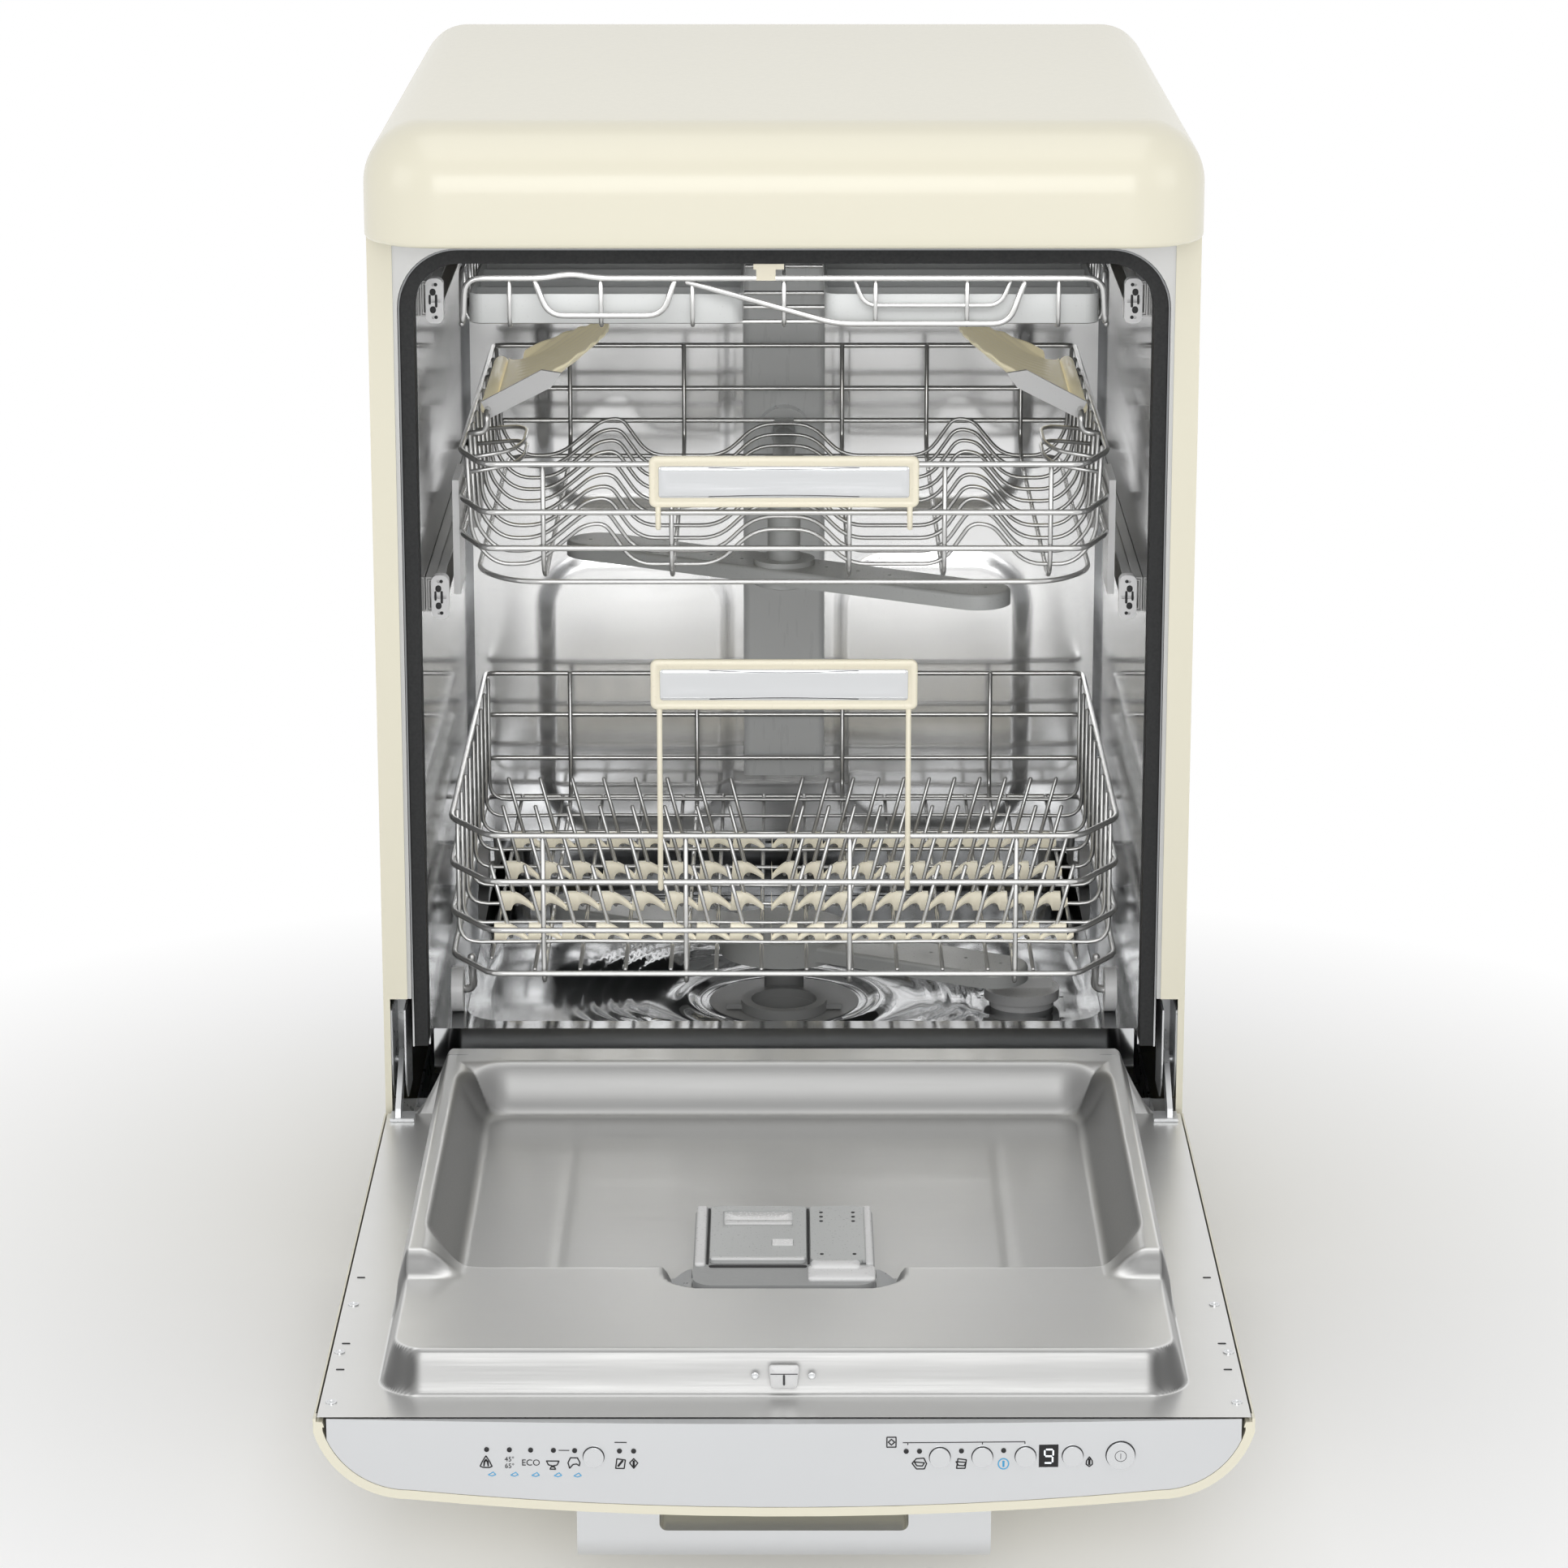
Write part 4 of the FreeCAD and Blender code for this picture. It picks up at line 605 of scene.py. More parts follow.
@dataclass
class Cabinet:
    """Outer cover and the pressed walls of the chamber."""

    half: float = 0.2995
    front: float = -0.0615
    back: float = 0.5995
    low: float = 0.7995
    top: float = 0.8848
    corner: float = 0.057
    roll: float = 0.046

    def build(self) -> None:
        """Make every cabinet piece."""
        self.cover()
        self.back_wall()
        self.tub_floor()

    def plan_ring(self, inset: np.ndarray, count: int = 240) -> tuple[np.ndarray, np.ndarray]:
        """Plan outline pulled in evenly, round at its two front corners and nearly square behind.

        Points go round at even angle steps in each corner: centre + radius (cos a, sin a), with the radius
        less the inset, so every inset outline has the same corner centres.

        Args:
            inset: How far in, one value per ring.
            count: Points round the outline.

        Returns:
            X and Y, a row per ring.
        """
        back_corner = 0.02
        centres = np.array([[self.half - self.corner, self.front + self.corner],
                            [self.half - back_corner, self.back - back_corner],
                            [back_corner - self.half, self.back - back_corner],
                            [self.corner - self.half, self.front + self.corner]])
        radii = np.array([self.corner, back_corner, back_corner, self.corner])
        starts = np.array([-90, 0, 90, 180])
        part = count // 4
        angle = np.radians(starts[:, None] + np.linspace(0, 90, part)[None, :])
        radius = np.maximum(radii[None, :, None] - inset[:, None, None], 0.0)
        pull = np.minimum(radii[None, :, None] - inset[:, None, None], 0.0)
        x = centres[None, :, 0:1] + radius * np.cos(angle) + pull * np.sign(centres[None, :, 0:1])
        y = centres[None, :, 1:2] + radius * np.sin(angle)
        y = y - pull * np.array([-1, 1, 1, -1])[None, :, None] * -1
        return x.reshape(len(inset), -1), y.reshape(len(inset), -1)

    def cover(self) -> None:
        """The domed cover: rings of the plan outline that climb the side and roll over the top edge.

        The side bulges by a quarter sine; the roll is inset = r(1 - cos a), height = top - r(1 - sin a).
        """
        lip = np.linspace(0, 1, 6)
        side = np.linspace(0, 1, 10)[1:]
        arc = np.radians(np.linspace(0, 90, 18))[1:]
        inset = np.concatenate([0.004 * (1 - np.sin(lip * math.pi / 2)), np.zeros(len(side)),
                                self.roll * (1 - np.cos(arc))])
        height = np.concatenate([self.low + 0.004 * lip ** 1.5, self.low + 0.004 +
                                 (self.top - self.roll - self.low - 0.004) * side,
                                 self.top - self.roll + self.roll * np.sin(arc)])
        inner = np.array([0.008, 0.008])
        inset = np.concatenate([inner[::-1], inset])
        height = np.concatenate([[self.top - 0.04, self.low + 0.0002], height])
        inset[0], inset[1] = 0.008, 0.006
        x, y = self.plan_ring(inset)
        z = np.broadcast_to(height[:, None], x.shape)
        points = np.stack([x, y, z], axis=-1)
        centre = np.array([[0.0, (self.front + self.back) / 2]])
        fills = []
        for share in (0.85, 0.5, 0.15, 0.0):
            ring = points[-1].copy()
            ring[:, :2] = centre + (points[-1][:, :2] - centre) * share
            fills.append(ring)
        points = np.concatenate([points, np.array(fills)])
        faces = grid_faces(points.shape[0], points.shape[1], wrap_columns=True)
        dress(put_mesh("domed_cover", points, faces), "cabinet", ENAMEL, ("top_cover",))

    def tub_floor(self) -> None:
        """The pressed floor: rings from the sump's edge out to the walls, raised by lobes and domes.

        Each point slides from the sump circle to the floor's rectangle; the height is a collar round the
        sump, plus lobes that follow sin^2 of twice the angle, plus a dome in each front corner.
        """
        middle, hole = 0.262, 0.0625
        angle = np.linspace(0, 2 * math.pi, 145)[:-1]
        cos, sin = np.cos(angle), np.sin(angle)
        reach_x = 0.2575 / np.maximum(np.abs(cos), 1e-6)
        reach_y = np.where(sin > 0, 0.55 - middle, middle - 0.066) / np.maximum(np.abs(sin), 1e-6)
        reach = np.minimum(reach_x, reach_y)
        share = np.linspace(0, 1, 60)[:, None]
        radius = hole + (reach - hole)[None, :] * share
        x, y = radius * cos, middle + radius * sin
        edge = smoothstep(1 - share, 0.0, 0.12) * smoothstep(share, 0.0, 0.06)
        collar = 0.004 * np.exp(-((radius - 0.078) / 0.007) ** 2)
        lobes = 0.009 * np.sin(2 * angle)[None, :] ** 2 * smoothstep(radius, 0.085, 0.13)
        domes = 0.008 * np.exp(-((np.abs(x) - 0.19) ** 2 + (y - 0.115) ** 2) / 0.0011)
        grooves = 0.0025 * np.sin(radius * 210) * smoothstep(radius, 0.1, 0.13) * (1 - smoothstep(radius, 0.15, 0.19))
        clear = smoothstep(np.hypot(x - 0.19, y - 0.255), 0.038, 0.06)
        z = 0.1404 + (collar + lobes + domes + np.abs(grooves)) * edge * clear
        points = np.stack([x, y, z], axis=-1)
        cap = np.hypot(x - 0.19, y - 0.255) < 0.034
        faces = grid_faces(*x.shape, wrap_columns=True)[:, ::-1]
        faces = faces[~cap.ravel()[faces].any(axis=1)]
        # The floor takes the tub's darkened steel, painted shade.
        dress(put_mesh("pressed_floor", points, faces), "cabinet", MIRROR_STEEL_PAINTED_SHADE)

    def back_wall(self) -> None:
        """The pressed back wall: raised round-cornered panels either side of the duct."""
        x, z = np.meshgrid(np.linspace(-0.262, 0.262, 190), np.linspace(0.188, 0.772, 210))
        lift = np.zeros_like(x)
        for side in Side:
            ends = sorted((side.value * 0.044, side.value * 0.205))
            for low, high in ((0.48, 0.72), (0.2, 0.44)):
                lift += smoothstep(inside_depth(x, z, (ends[0], ends[1], low, high), 0.045), -0.004, 0.012)
        y = 0.5574 - 0.0032 * lift
        points = np.stack([x, y, z], axis=-1)
        faces = grid_faces(*x.shape)
        # The back wall's near-white steel is painted light.
        dress(put_mesh("pressed_back_wall", points, faces), "cabinet", BACK_STEEL_PAINTED_LIGHT)


# ------------------------------------------------------------------ door


@dataclass
class Door:
    """The open door's pressed liner, its fittings and the marks on its control strip."""

    flange: float = 0.138
    plateau: float = 0.167
    rail: float = 0.184
    pan: float = 0.148
    fold: float = -0.5895
    control_z: float = 0.1143
    fascia_bow: float = 0.009
    fold_y: float = -0.590

    def build(self) -> None:
        """Make every door piece."""
        self.liner()
        self.fittings()
        self.control_marks()

    def liner_height(self, x: np.ndarray, y: np.ndarray) -> np.ndarray:
        """Height of the pressing over its plan.

        Flange, plus the plateau's rise, plus the wheel tracks' rise, less the pan, each a smoothstep of the
        depth inside its own round-cornered outline.

        Args:
            x: Plan X.
            y: Plan Y.

        Returns:
            Height of the sheet's top.
        """
        body = inside_depth(x, y, (-0.262, 0.262, -0.556, 0.03), 0.03)
        z = self.flange + (self.plateau - self.flange) * smoothstep(body, 0.0, 0.011)
        side = smoothstep(np.abs(x), 0.212, 0.2425) * smoothstep(body, 0.0, 0.004)
        track = side * (1 - smoothstep(-y, 0.408, 0.424))
        rear = smoothstep(y, -0.05, -0.019)
        z += (self.rail - self.plateau) * np.maximum(track, rear * smoothstep(body, 0, 0.006))
        groove = np.exp(-((np.abs(x) - 0.2535) / 0.0016) ** 2) * (1 - smoothstep(-y, 0.395, 0.41))
        z -= 0.0022 * groove
        pan = inside_depth(x, y, (-0.244, 0.244, -0.402, -0.017), 0.045)
        dip = smoothstep(pan, 0.0, 0.028)
        z = z * (1 - dip) + self.pan * dip
        ribs = 0.0006 * (smoothstep(np.abs(x), 0.149, 0.151) - smoothstep(np.abs(x), 0.157, 0.159))
        z -= ribs * smoothstep(pan, 0.03, 0.04)
        bay = inside_depth(x, y, (-0.082, 0.082, -0.4395, -0.36), 0.03)
        z -= (z - self.pan) * smoothstep(bay, 0.0, 0.012)
        return z

    def liner(self) -> None:
        """The stainless pressing, a sheet over a plan grid that narrows behind the hinge line."""
        rows = np.concatenate([np.linspace(self.fold, -0.54, 36), np.linspace(-0.538, -0.40, 64),
                               np.linspace(-0.398, -0.04, 120), np.linspace(-0.038, 0.0099, 44)])
        columns = np.concatenate([np.linspace(-1, -0.72, 96), np.linspace(-0.715, 0.715, 150),
                                  np.linspace(0.72, 1, 96)])
        half = np.where(rows < -0.005, 0.297, 0.278)
        x = columns[None, :] * half[:, None]
        y = np.broadcast_to(rows[:, None], x.shape).copy()
        z = self.liner_height(x, y)
        skirt = np.stack([x[-1], np.full(x.shape[1], 0.0099), np.full(x.shape[1], self.flange - 0.001)], axis=-1)
        points = np.concatenate([np.stack([x, y, z], axis=-1), skirt[None]])
        faces = grid_faces(points.shape[0], points.shape[1])
        liner = put_mesh("pressed_liner", points, faces)
        # Painted shade: steep walls, side walls and the pan floor get a darker colour through the 'shade' attribute,
        # standing in for the light they miss.
        along, across = np.gradient(z, rows, axis=0), np.gradient(z, axis=1) / np.gradient(x, axis=1)
        steep = smoothstep(np.abs(along), 0.25, 1.1)
        aside = smoothstep(np.abs(across), 0.25, 1.1)
        deep = smoothstep(inside_depth(x, y, (-0.244, 0.244, -0.402, -0.017), 0.045), 0.012, 0.028)
        shade = (1 - 0.16 * deep) * (1 - 0.6 * steep) * (1 - 0.6 * aside)
        shade = np.concatenate([shade, shade[-1:]]).astype(np.float32)
        painted_shade = liner.data.attributes.new("shade", "FLOAT", "POINT")
        painted_shade.data.foreach_set("value", shade.ravel())
        dress(liner, "door", LINER_STEEL, ("door_liner",))

    def fittings(self) -> None:
        """Slots along the flange, the latch mouth's bezel, and the dispenser's frame, grip and dots."""
        marks = Bundle()
        for side in Side:
            for y in (-0.345, -0.465, -0.51):
                marks.add(*spot((side.value * 0.289, y, self.flange + 0.0001), (0.0028, 0.0009), 0.0003, Facing.UP))
        marks.make("flange_slots", "door", INK)
        latch = Bundle()
        face = -0.5597
        plate_points, plate_faces = rounded_shell((0.0, face, 0.1535), (0.0098, 0.0078), 0.0022,
                                                  [(0.0078, -0.0012), (0, -0.0012), (0, 0.0004), (0.0008, 0.001),
                                                   (0.0078, 0.001)])
        plate_points[..., 0] *= 0.86 + 0.14 * np.clip((plate_points[..., 2] - 0.1457) / 0.0156, 0, 1)
        latch.add(plate_points, plate_faces)
        latch.make("latch_bezel", "door", LIGHT_GREY)
        mouth = Bundle()
        mouth.add(*spot((0.0, face - 0.0011, 0.1515), (0.0007, 0.0036), 0.0003))
        mouth.add(*rounded_shell((0.0, face - 0.0009, 0.1556), (0.0088, 0.0003), 0.0003,
                                 [(0.0003, 0.0), (0.0, 0.0), (0.0, 0.0003), (0.0003, 0.0003)]))
        mouth.make("latch_slot", "door", DARK)
        screws = Bundle()
        for x in (-0.0185, 0.0178):
            screws.add(*spot((x, face + 0.0003, 0.154), (0.0024, 0.0024), 0.0008))
        screws.make("latch_screws", "door", CHROME)
        frame_piece = Bundle()
        for x, half in ((-0.0565, 0.0035), (0.0575, 0.0025)):
            frame_piece.add(*rounded_shell((x, -0.344, 0.1665), (half, 0.056), 0.0024,
                                           [(half, 0), (0, 0), (0, 0.0022), (0.001, 0.003), (half, 0.003)],
                                           Facing.UP))
        frame_piece.add(*rounded_shell((0.0385, -0.4155, 0.1665), (0.0225, 0.012), 0.003,
                                       [(0.012, 0), (0, 0), (0, 0.0025), (0.0012, 0.0034), (0.012, 0.0034)],
                                       Facing.UP))
        frame_piece.add(*rounded_shell((0.0345, -0.4035, 0.1675), (0.0165, 0.007), 0.003,
                                       [(0.007, 0), (0, 0), (0, 0.0025), (0.0015, 0.004), (0.007, 0.0044)],
                                       Facing.UP))
        frame_piece.make("dispenser_frame", "door", LIGHT_GREY)
        wings = Bundle()
        for side in Side:
            t = np.linspace(0, 1, 12)
            out = side.value * (0.0618 + 0.019 * t)
            crest = 0.1655 - 0.0155 * t ** 1.6
            inner = np.stack([out, np.full(12, -0.4), crest], -1)
            outer = np.stack([side.value * (0.0618 + 0.021 * t), np.full(12, -0.43), np.full(12, 0.1492)], -1)
            rear = np.stack([out, np.full(12, -0.375), np.full(12, 0.1492)], -1)
            wings.add(np.stack([outer, inner, rear]), grid_faces(3, 12))
        wings.make("dispenser_wings", "door", ZINC)
        dots = Bundle()
        for x in (0.0255, 0.0475):
            for y in (-0.303, -0.3115, -0.32, -0.383):
                dots.add(*spot((x, y, 0.1697), (0.0013, 0.0015), 0.0003, Facing.UP))
        dots.make("lid_dots", "rinse_aid_lid", INK)
        grip = Bundle()
        grip.add(*rounded_shell((-0.0175, -0.3105, 0.1683), (0.0238, 0.0117), 0.0016,
                                [(0.0117, 0.0), (0, 0.0), (0.0003, 0.0004), (0.0117, 0.0004)], Facing.UP))
        grip.make("lid_grip_floor", "detergent_lid", WHITE)
        rim = Bundle()
        rim.add(*rounded_shell((-0.0175, -0.3195, 0.1685), (0.0236, 0.0042), 0.001,
                               [(0.0042, 0.0), (0, 0.0), (0.0003, 0.0004), (0.0042, 0.0004)], Facing.UP))
        rim.add(*rounded_shell((-0.0175, -0.3915, 0.1698), (0.0315, 0.0033), 0.001,
                               [(0.0033, 0.0), (0, 0.0), (0.0005, 0.0005), (0.0033, 0.0005)], Facing.UP))
        rim.make("lid_grip_edge", "detergent_lid", LIGHT_GREY)
        gap = Bundle()
        gap.add(*spot((-0.0175, -0.3995, 0.167), (0.033, 0.0022), 0.0006, Facing.UP))
        gap.add(*spot((0.0165, -0.3425, 0.1671), (0.0008, 0.053), 0.0006, Facing.UP))
        gap.add(*spot((-0.0515, -0.3425, 0.1671), (0.0008, 0.053), 0.0006, Facing.UP))
        gap.make("dispenser_gaps", "door", INK)

    def face_y(self, x: float) -> float:
        """Where the bowed control strip's face lies at a given X, on its circular arc."""
        half = 0.3045
        radius = (half ** 2 + self.fascia_bow ** 2) / (2 * self.fascia_bow)
        return self.fold_y + 0.0004 - self.fascia_bow + radius - math.sqrt(radius ** 2 - x ** 2)

    def word(self, text: str, x: float, z: float, height: float, finish: Finish, proud: float = 0.0002,
             body: str = "door") -> None:
        """Set a short generic word or digit on the control strip.

        Args:
            text: What is written.
            x: Its middle.
            z: Its middle height.
            height: Letter height.
            finish: Its ink.
            proud: How far in front of the strip it lies.
            body: The body it rides on.
        """
        curve = bpy.data.curves.new("mark", "FONT")
        curve.body = text
        curve.size = height * 1.4
        curve.align_x = "CENTER"
        curve.align_y = "CENTER"
        curve.extrude = 0.00004
        holder = bpy.data.objects.new("mark", curve)
        bpy.context.scene.collection.objects.link(holder)
        bpy.context.view_layer.update()
        mesh = bpy.data.meshes.new_from_object(holder)
        flat = np.zeros(len(mesh.vertices) * 3)
        mesh.vertices.foreach_get("co", flat)
        flat = flat.reshape(-1, 3)
        placed = np.stack([flat[:, 0] + x, self.face_y(x) - proud - flat[:, 2], flat[:, 1] + z], axis=-1)
        mesh.vertices.foreach_set("co", placed.ravel())
        mesh.update()
        bpy.data.objects.remove(holder)
        piece = bpy.data.objects.new("mark_%s_%d" % ("".join(c for c in text if c.isalnum()), round(x * 1e4)), mesh)
        bpy.context.scene.collection.objects.link(piece)
        dress(piece, body, finish)

    def strip_outline(self, outline: list[tuple[float, float]], x: float, z: float,
                      bundle: Bundle, width: float = 0.00035) -> None:
        """Add a thin drawn line to the strip.

        Args:
            outline: Closed line as (x, z) offsets.
            x: The drawing's middle.
            z: Its middle height.
            bundle: Where it is gathered.
            width: The line's half width.
        """
        corners = [(x + dx, self.face_y(x + dx) - 0.0001, z + dz) for dx, dz in outline]
        bundle.wire(corners, width, bend=0.0002, closed=True, around=4)

    def control_marks(self) -> None:
        """Signs, lamps and the display's digit on the control strip."""
        lamps, signs, blue = Bundle(), Bundle(), Bundle()
        for x in (-0.189, -0.1745, -0.161, -0.1465, -0.133, -0.1045, -0.0955, 0.0776, 0.086, 0.1127, 0.1395):
            lamps.add(*spot((x, self.face_y(x), 0.1184), (0.0016, 0.0016), 0.0008))
        lamps.make("lamps", "door", INK)
        triangle = [(0, 0.0042), (0.0022, 0.0006), (0.0038, -0.003), (0.002, -0.0038), (-0.002, -0.0038),
                    (-0.0038, -0.003), (-0.0022, 0.0006)]
        arch = [(-0.0014, -0.003), (-0.0013, 0.0002), (0, 0.0018), (0.0013, 0.0002), (0.0014, -0.003),
                (0.0008, 0.0002), (0, 0.001), (-0.0008, 0.0002)]
        bowl = [(-0.004, 0.0012), (-0.0028, -0.0014), (0, -0.0022), (0.0028, -0.0014), (0.004, 0.0012)]
        foot = [(-0.0018, -0.0044), (0.0018, -0.0044), (0.001, -0.0028), (-0.001, -0.0028)]
        hood = [(-0.0028, -0.0036), (-0.0038, 0.0002), (-0.0022, 0.0036), (0.0022, 0.0036), (0.0038, 0.0004),
                (0.0034, -0.0018), (0.0016, -0.0006), (-0.0006, -0.001)]
        square = [(-0.003, -0.0034), (0.0024, -0.0034), (0.0032, 0.0024), (-0.0022, 0.0032)]
        slash = [(-0.0012, -0.002), (0.0016, 0.0016), (0.0012, 0.002), (-0.0016, -0.0016)]
        diamond = [(0, 0.0034), (0.0026, 0.0004), (0, -0.0032), (-0.0026, 0.0004)]
        drop = [(0, 0.0034), (0.0018, 0.0008), (0.002, -0.0016), (0, -0.0032), (-0.002, -0.0016), (-0.0018, 0.0008)]
        tall = [(-0.0003, 0.0018), (0.0003, 0.0018), (0.0003, -0.0018), (-0.0003, -0.0018)]
        pan = [(-0.0048, 0.0002), (-0.002, -0.0036), (0.003, -0.0036), (0.0044, 0.0), (0.0026, 0.0038),
               (-0.0022, 0.0034)]
        lid = [(-0.0034, 0.0012), (0.003, 0.0006), (0.0018, -0.0016), (-0.0018, -0.0014)]
        loop = [(0.0033 * math.cos(a), 0.0036 * math.sin(a)) for a in np.linspace(0, 2 * math.pi, 16)[:-1]]
        for x, shapes in ((-0.1895, (triangle, arch)), (-0.147, (bowl, foot)), (-0.1335, (hood,)),
                          (-0.104, (square, slash)), (-0.0955, (diamond, tall)), (0.0862, (pan, lid)),
                          (0.1127, (square, lid)), (0.1942, (drop, tall)), (0.0682, ())):
            for shape in shapes:
                self.strip_outline(shape, x, 0.1098, signs, 0.00042)
        self.strip_outline([(-0.0029, -0.0034), (0.0029, -0.0034), (0.0029, 0.0034), (-0.0029, 0.0034)], 0.0682,
                           0.1246, signs, 0.0004)
        self.strip_outline([(0, 0.002), (0.002, 0), (0, -0.002), (-0.002, 0)], 0.0682, 0.1246, signs, 0.0004)
        self.strip_outline(loop, 0.1395, 0.1092, blue, 0.0004)
        self.strip_outline(tall, 0.1395, 0.1092, blue, 0.0004)
        for x in (-0.1858, -0.1715, -0.158, -0.1438, -0.1313):
            self.strip_outline([(-0.0024, -0.0008), (0.0, -0.0016), (0.0024, -0.0006), (0.0008, 0.0012)], x,
                               0.1018, blue, 0.0003)
        run = np.linspace(0.0755, 0.153, 14)
        signs.wire([(x, self.face_y(x) - 0.0001, 0.1242) for x in run], 0.0003, around=4)
        for x in (0.0786, 0.126, 0.153):
            signs.wire([(x, self.face_y(x) - 0.0001, 0.1242), (x, self.face_y(x) - 0.0001, 0.1228)], 0.0003,
                       around=4)
        signs.wire([(x, self.face_y(x) - 0.0001, 0.1242) for x in (-0.1075, -0.1045, -0.102, -0.1)], 0.00035,
                   around=4)
        signs.wire([(x, self.face_y(x) - 0.0001, 0.1184) for x in (-0.143, -0.1395, -0.1365)], 0.0003, around=4)
        for x, radius in ((-0.121, 0.0066), (0.099, 0.0066), (0.126, 0.0066), (0.1535, 0.0066), (0.1835, 0.0066),
                          (0.214, 0.0092)):
            around = [(x + radius * math.cos(a), self.face_y(x + radius * math.cos(a)) - 0.0001,
                       0.1143 + radius * math.sin(a)) for a in np.linspace(0, 2 * math.pi, 33)[:-1]]
            signs.wire(around, 0.0004, bend=0.0003, closed=True, around=4)
        signs.make("control_signs", "door", INK)
        blue.make("blue_signs", "door", BLUE_INK)
        self.word("ECO", -0.161, 0.1096, 0.0042, INK)
        self.word("45\u00b0", -0.1745, 0.1118, 0.0032, INK)
        self.word("65\u00b0", -0.1745, 0.1072, 0.0032, INK)
        self.display_digit()
        sign = Bundle()
        y = self.face_y(0.214) - 0.0023
        circle = [(0.214 + 0.0036 * math.cos(a), y, 0.1143 + 0.0036 * math.sin(a))
                  for a in np.linspace(0, 2 * math.pi, 33)[:-1]]
        sign.wire(circle, 0.0003, bend=0.0003, closed=True, around=4)
        sign.wire([(0.214, y, 0.1125), (0.214, y, 0.1161)], 0.0003, around=4)
        sign.make("power_sign", "power_button", INK)

    def display_digit(self) -> None:
        """A seven-segment 9 made of six flat bars on the black window."""
        digit = Bundle()
        x0, z0, y = 0.1682, 0.1143, self.face_y(0.1682) - 0.0006
        slant = 0.08
        for dx, dz, half in ((0, 0.0046, (0.0022, 0.0005)), (0, 0, (0.0022, 0.0005)), (0, -0.0046, (0.0022, 0.0005)),
                             (-0.0027, 0.0023, (0.0005, 0.0018)), (0.0027, 0.0023, (0.0005, 0.0018)),
                             (0.0027, -0.0023, (0.0005, 0.0018))):
            digit.add(*spot((x0 + dx + slant * dz, y, z0 + dz), half, 0.0002))
        digit.make("display_digit", "door", WHITE_INK)


# ------------------------------------------------------------------ racks


@dataclass
class LowerRack:
    """The lower basket's bent wires and toothed strips."""

    front: float = 0.038
    back: float = 0.535
    half: float = 0.252
    nose: float = 0.221
    bend_y: float = 0.088
    floor: float = 0.234
    rims: tuple[float, ...] = (0.342, 0.306, 0.268, 0.234)
    heavy: float = 0.00225
    fine: float = 0.0016

    def build(self) -> None:
        """Make every piece of the rack."""
        self.wires()
        self.strips()

    def ring(self, z: float) -> list[tuple[float, float, float]]:
        """Corners of one rim at a height."""
        return [(-self.nose, self.front, z), (self.nose, self.front, z), (self.half, self.bend_y, z),
                (self.half, self.back, z), (-self.half, self.back, z), (-self.half, self.bend_y, z)]

    def wires(self) -> None:
        """Rims, long wires from front to back and cross wires that hang between the sides."""
        gather = Bundle()
        for z in self.rims:
            gather.wire(self.ring(z), self.heavy, bend=0.01, closed=True)
        inner = 0.0035
        for x in (-0.1807, -0.0736, 0.0493, 0.174):
            gather.wire([(x, self.front + inner, 0.343), (x, self.front + inner, self.floor - 0.012),
                         (x, self.front + 0.03, self.floor), (x, self.back - 0.03, self.floor),
                         (x, self.back - inner, self.floor + 0.006), (x, self.back - inner, 0.343)],
                        self.fine + 0.0003, bend=0.014)
        for x in np.linspace(-0.222, 0.222, 14):
            start = self.front + 0.004 + max(0.0, (abs(x) - 0.19) * 0.9)
            gather.wire([(x, start, self.floor + 0.002), (x, self.back - 0.004, self.floor + 0.002)], self.fine)
        for y in np.linspace(0.105, 0.51, 9):
            gather.wire([(-self.half + inner, y, 0.343), (-self.half + inner, y, self.floor + 0.004),
                         (-0.15, y, self.floor + 0.005), (0, y, self.floor + 0.004), (0.15, y, self.floor + 0.005),
                         (self.half - inner, y, self.floor + 0.004), (self.half - inner, y, 0.343)],
                        self.fine, bend=0.016)
        for side in Side:
            for y in (0.102, 0.44):
                x = side.value * 0.238
                gather.wire([(x, y - 0.02, self.floor), (x, y, 0.2013), (side.value * 0.2541, y, 0.2013)], 0.003,
                            bend=0.01)
        gather.make("lower_rack_wires", "lower_basket", WIRE, ("lower_basket_wires",))

    def strips(self) -> None:
        """Toothed strips: a thin upright plate whose top follows a wave, with leaning tines.

        Along each pitch the top edge is flat for a third, then falls as 1 - t^1.7; the lower edge lifts in an
        arch sqrt(4 t (1 - t)) under the falling part.
        """
        plates, tines = Bundle(), Bundle()
        for y in (0.112, 0.196, 0.280, 0.364):
            for x0, x1, pitch, lean in ((-0.222, -0.016, 0.0258, -1), (-0.010, 0.222, 0.0206, 1)):
                x = np.linspace(x0, x1, int((x1 - x0) / 0.0008))
                run = ((x - x0) / pitch * -lean) % 1.0
                fall = np.clip((run - 0.32) / 0.68, 0, 1)
                top = self.floor + 0.0052 + 0.0118 * (1 - fall ** 1.7)
                arch = np.clip((run - 0.34) / 0.62, 0, 1)
                low = self.floor + 0.0026 + 0.0085 * np.sqrt(np.clip(arch * (1 - arch) * 4, 0, 1)) * (1 - 0.75 * arch)
                low = np.minimum(low, top - 0.0016)
                thick = 0.003
                section = np.stack([np.stack([x, np.full_like(x, y + side * thick), edge], -1)
                                    for side, edge in ((-1, low), (-1, top - 0.0008), (-0.7, top), (0.7, top),
                                                       (1, top - 0.0008), (1, low))])
                plates.add(section, grid_faces(6, len(x), wrap_rows=True))
                for at in np.arange(x0 + pitch / 2, x1 - 0.004, pitch):
                    lean_to = at + lean * 0.015
                    if abs(lean_to) < 0.236:
                        tines.wire([(at, y, self.floor + 0.006), (at + lean * 0.004, y, self.floor + 0.02),
                                    (lean_to, y, self.floor + 0.063)], 0.0016, bend=0.01)
        plates.make("toothed_strips", "lower_basket", STRIP_PAINTED_LIGHT, ("tine_strips",))
        tines.make("plate_tines", "lower_basket", WIRE)


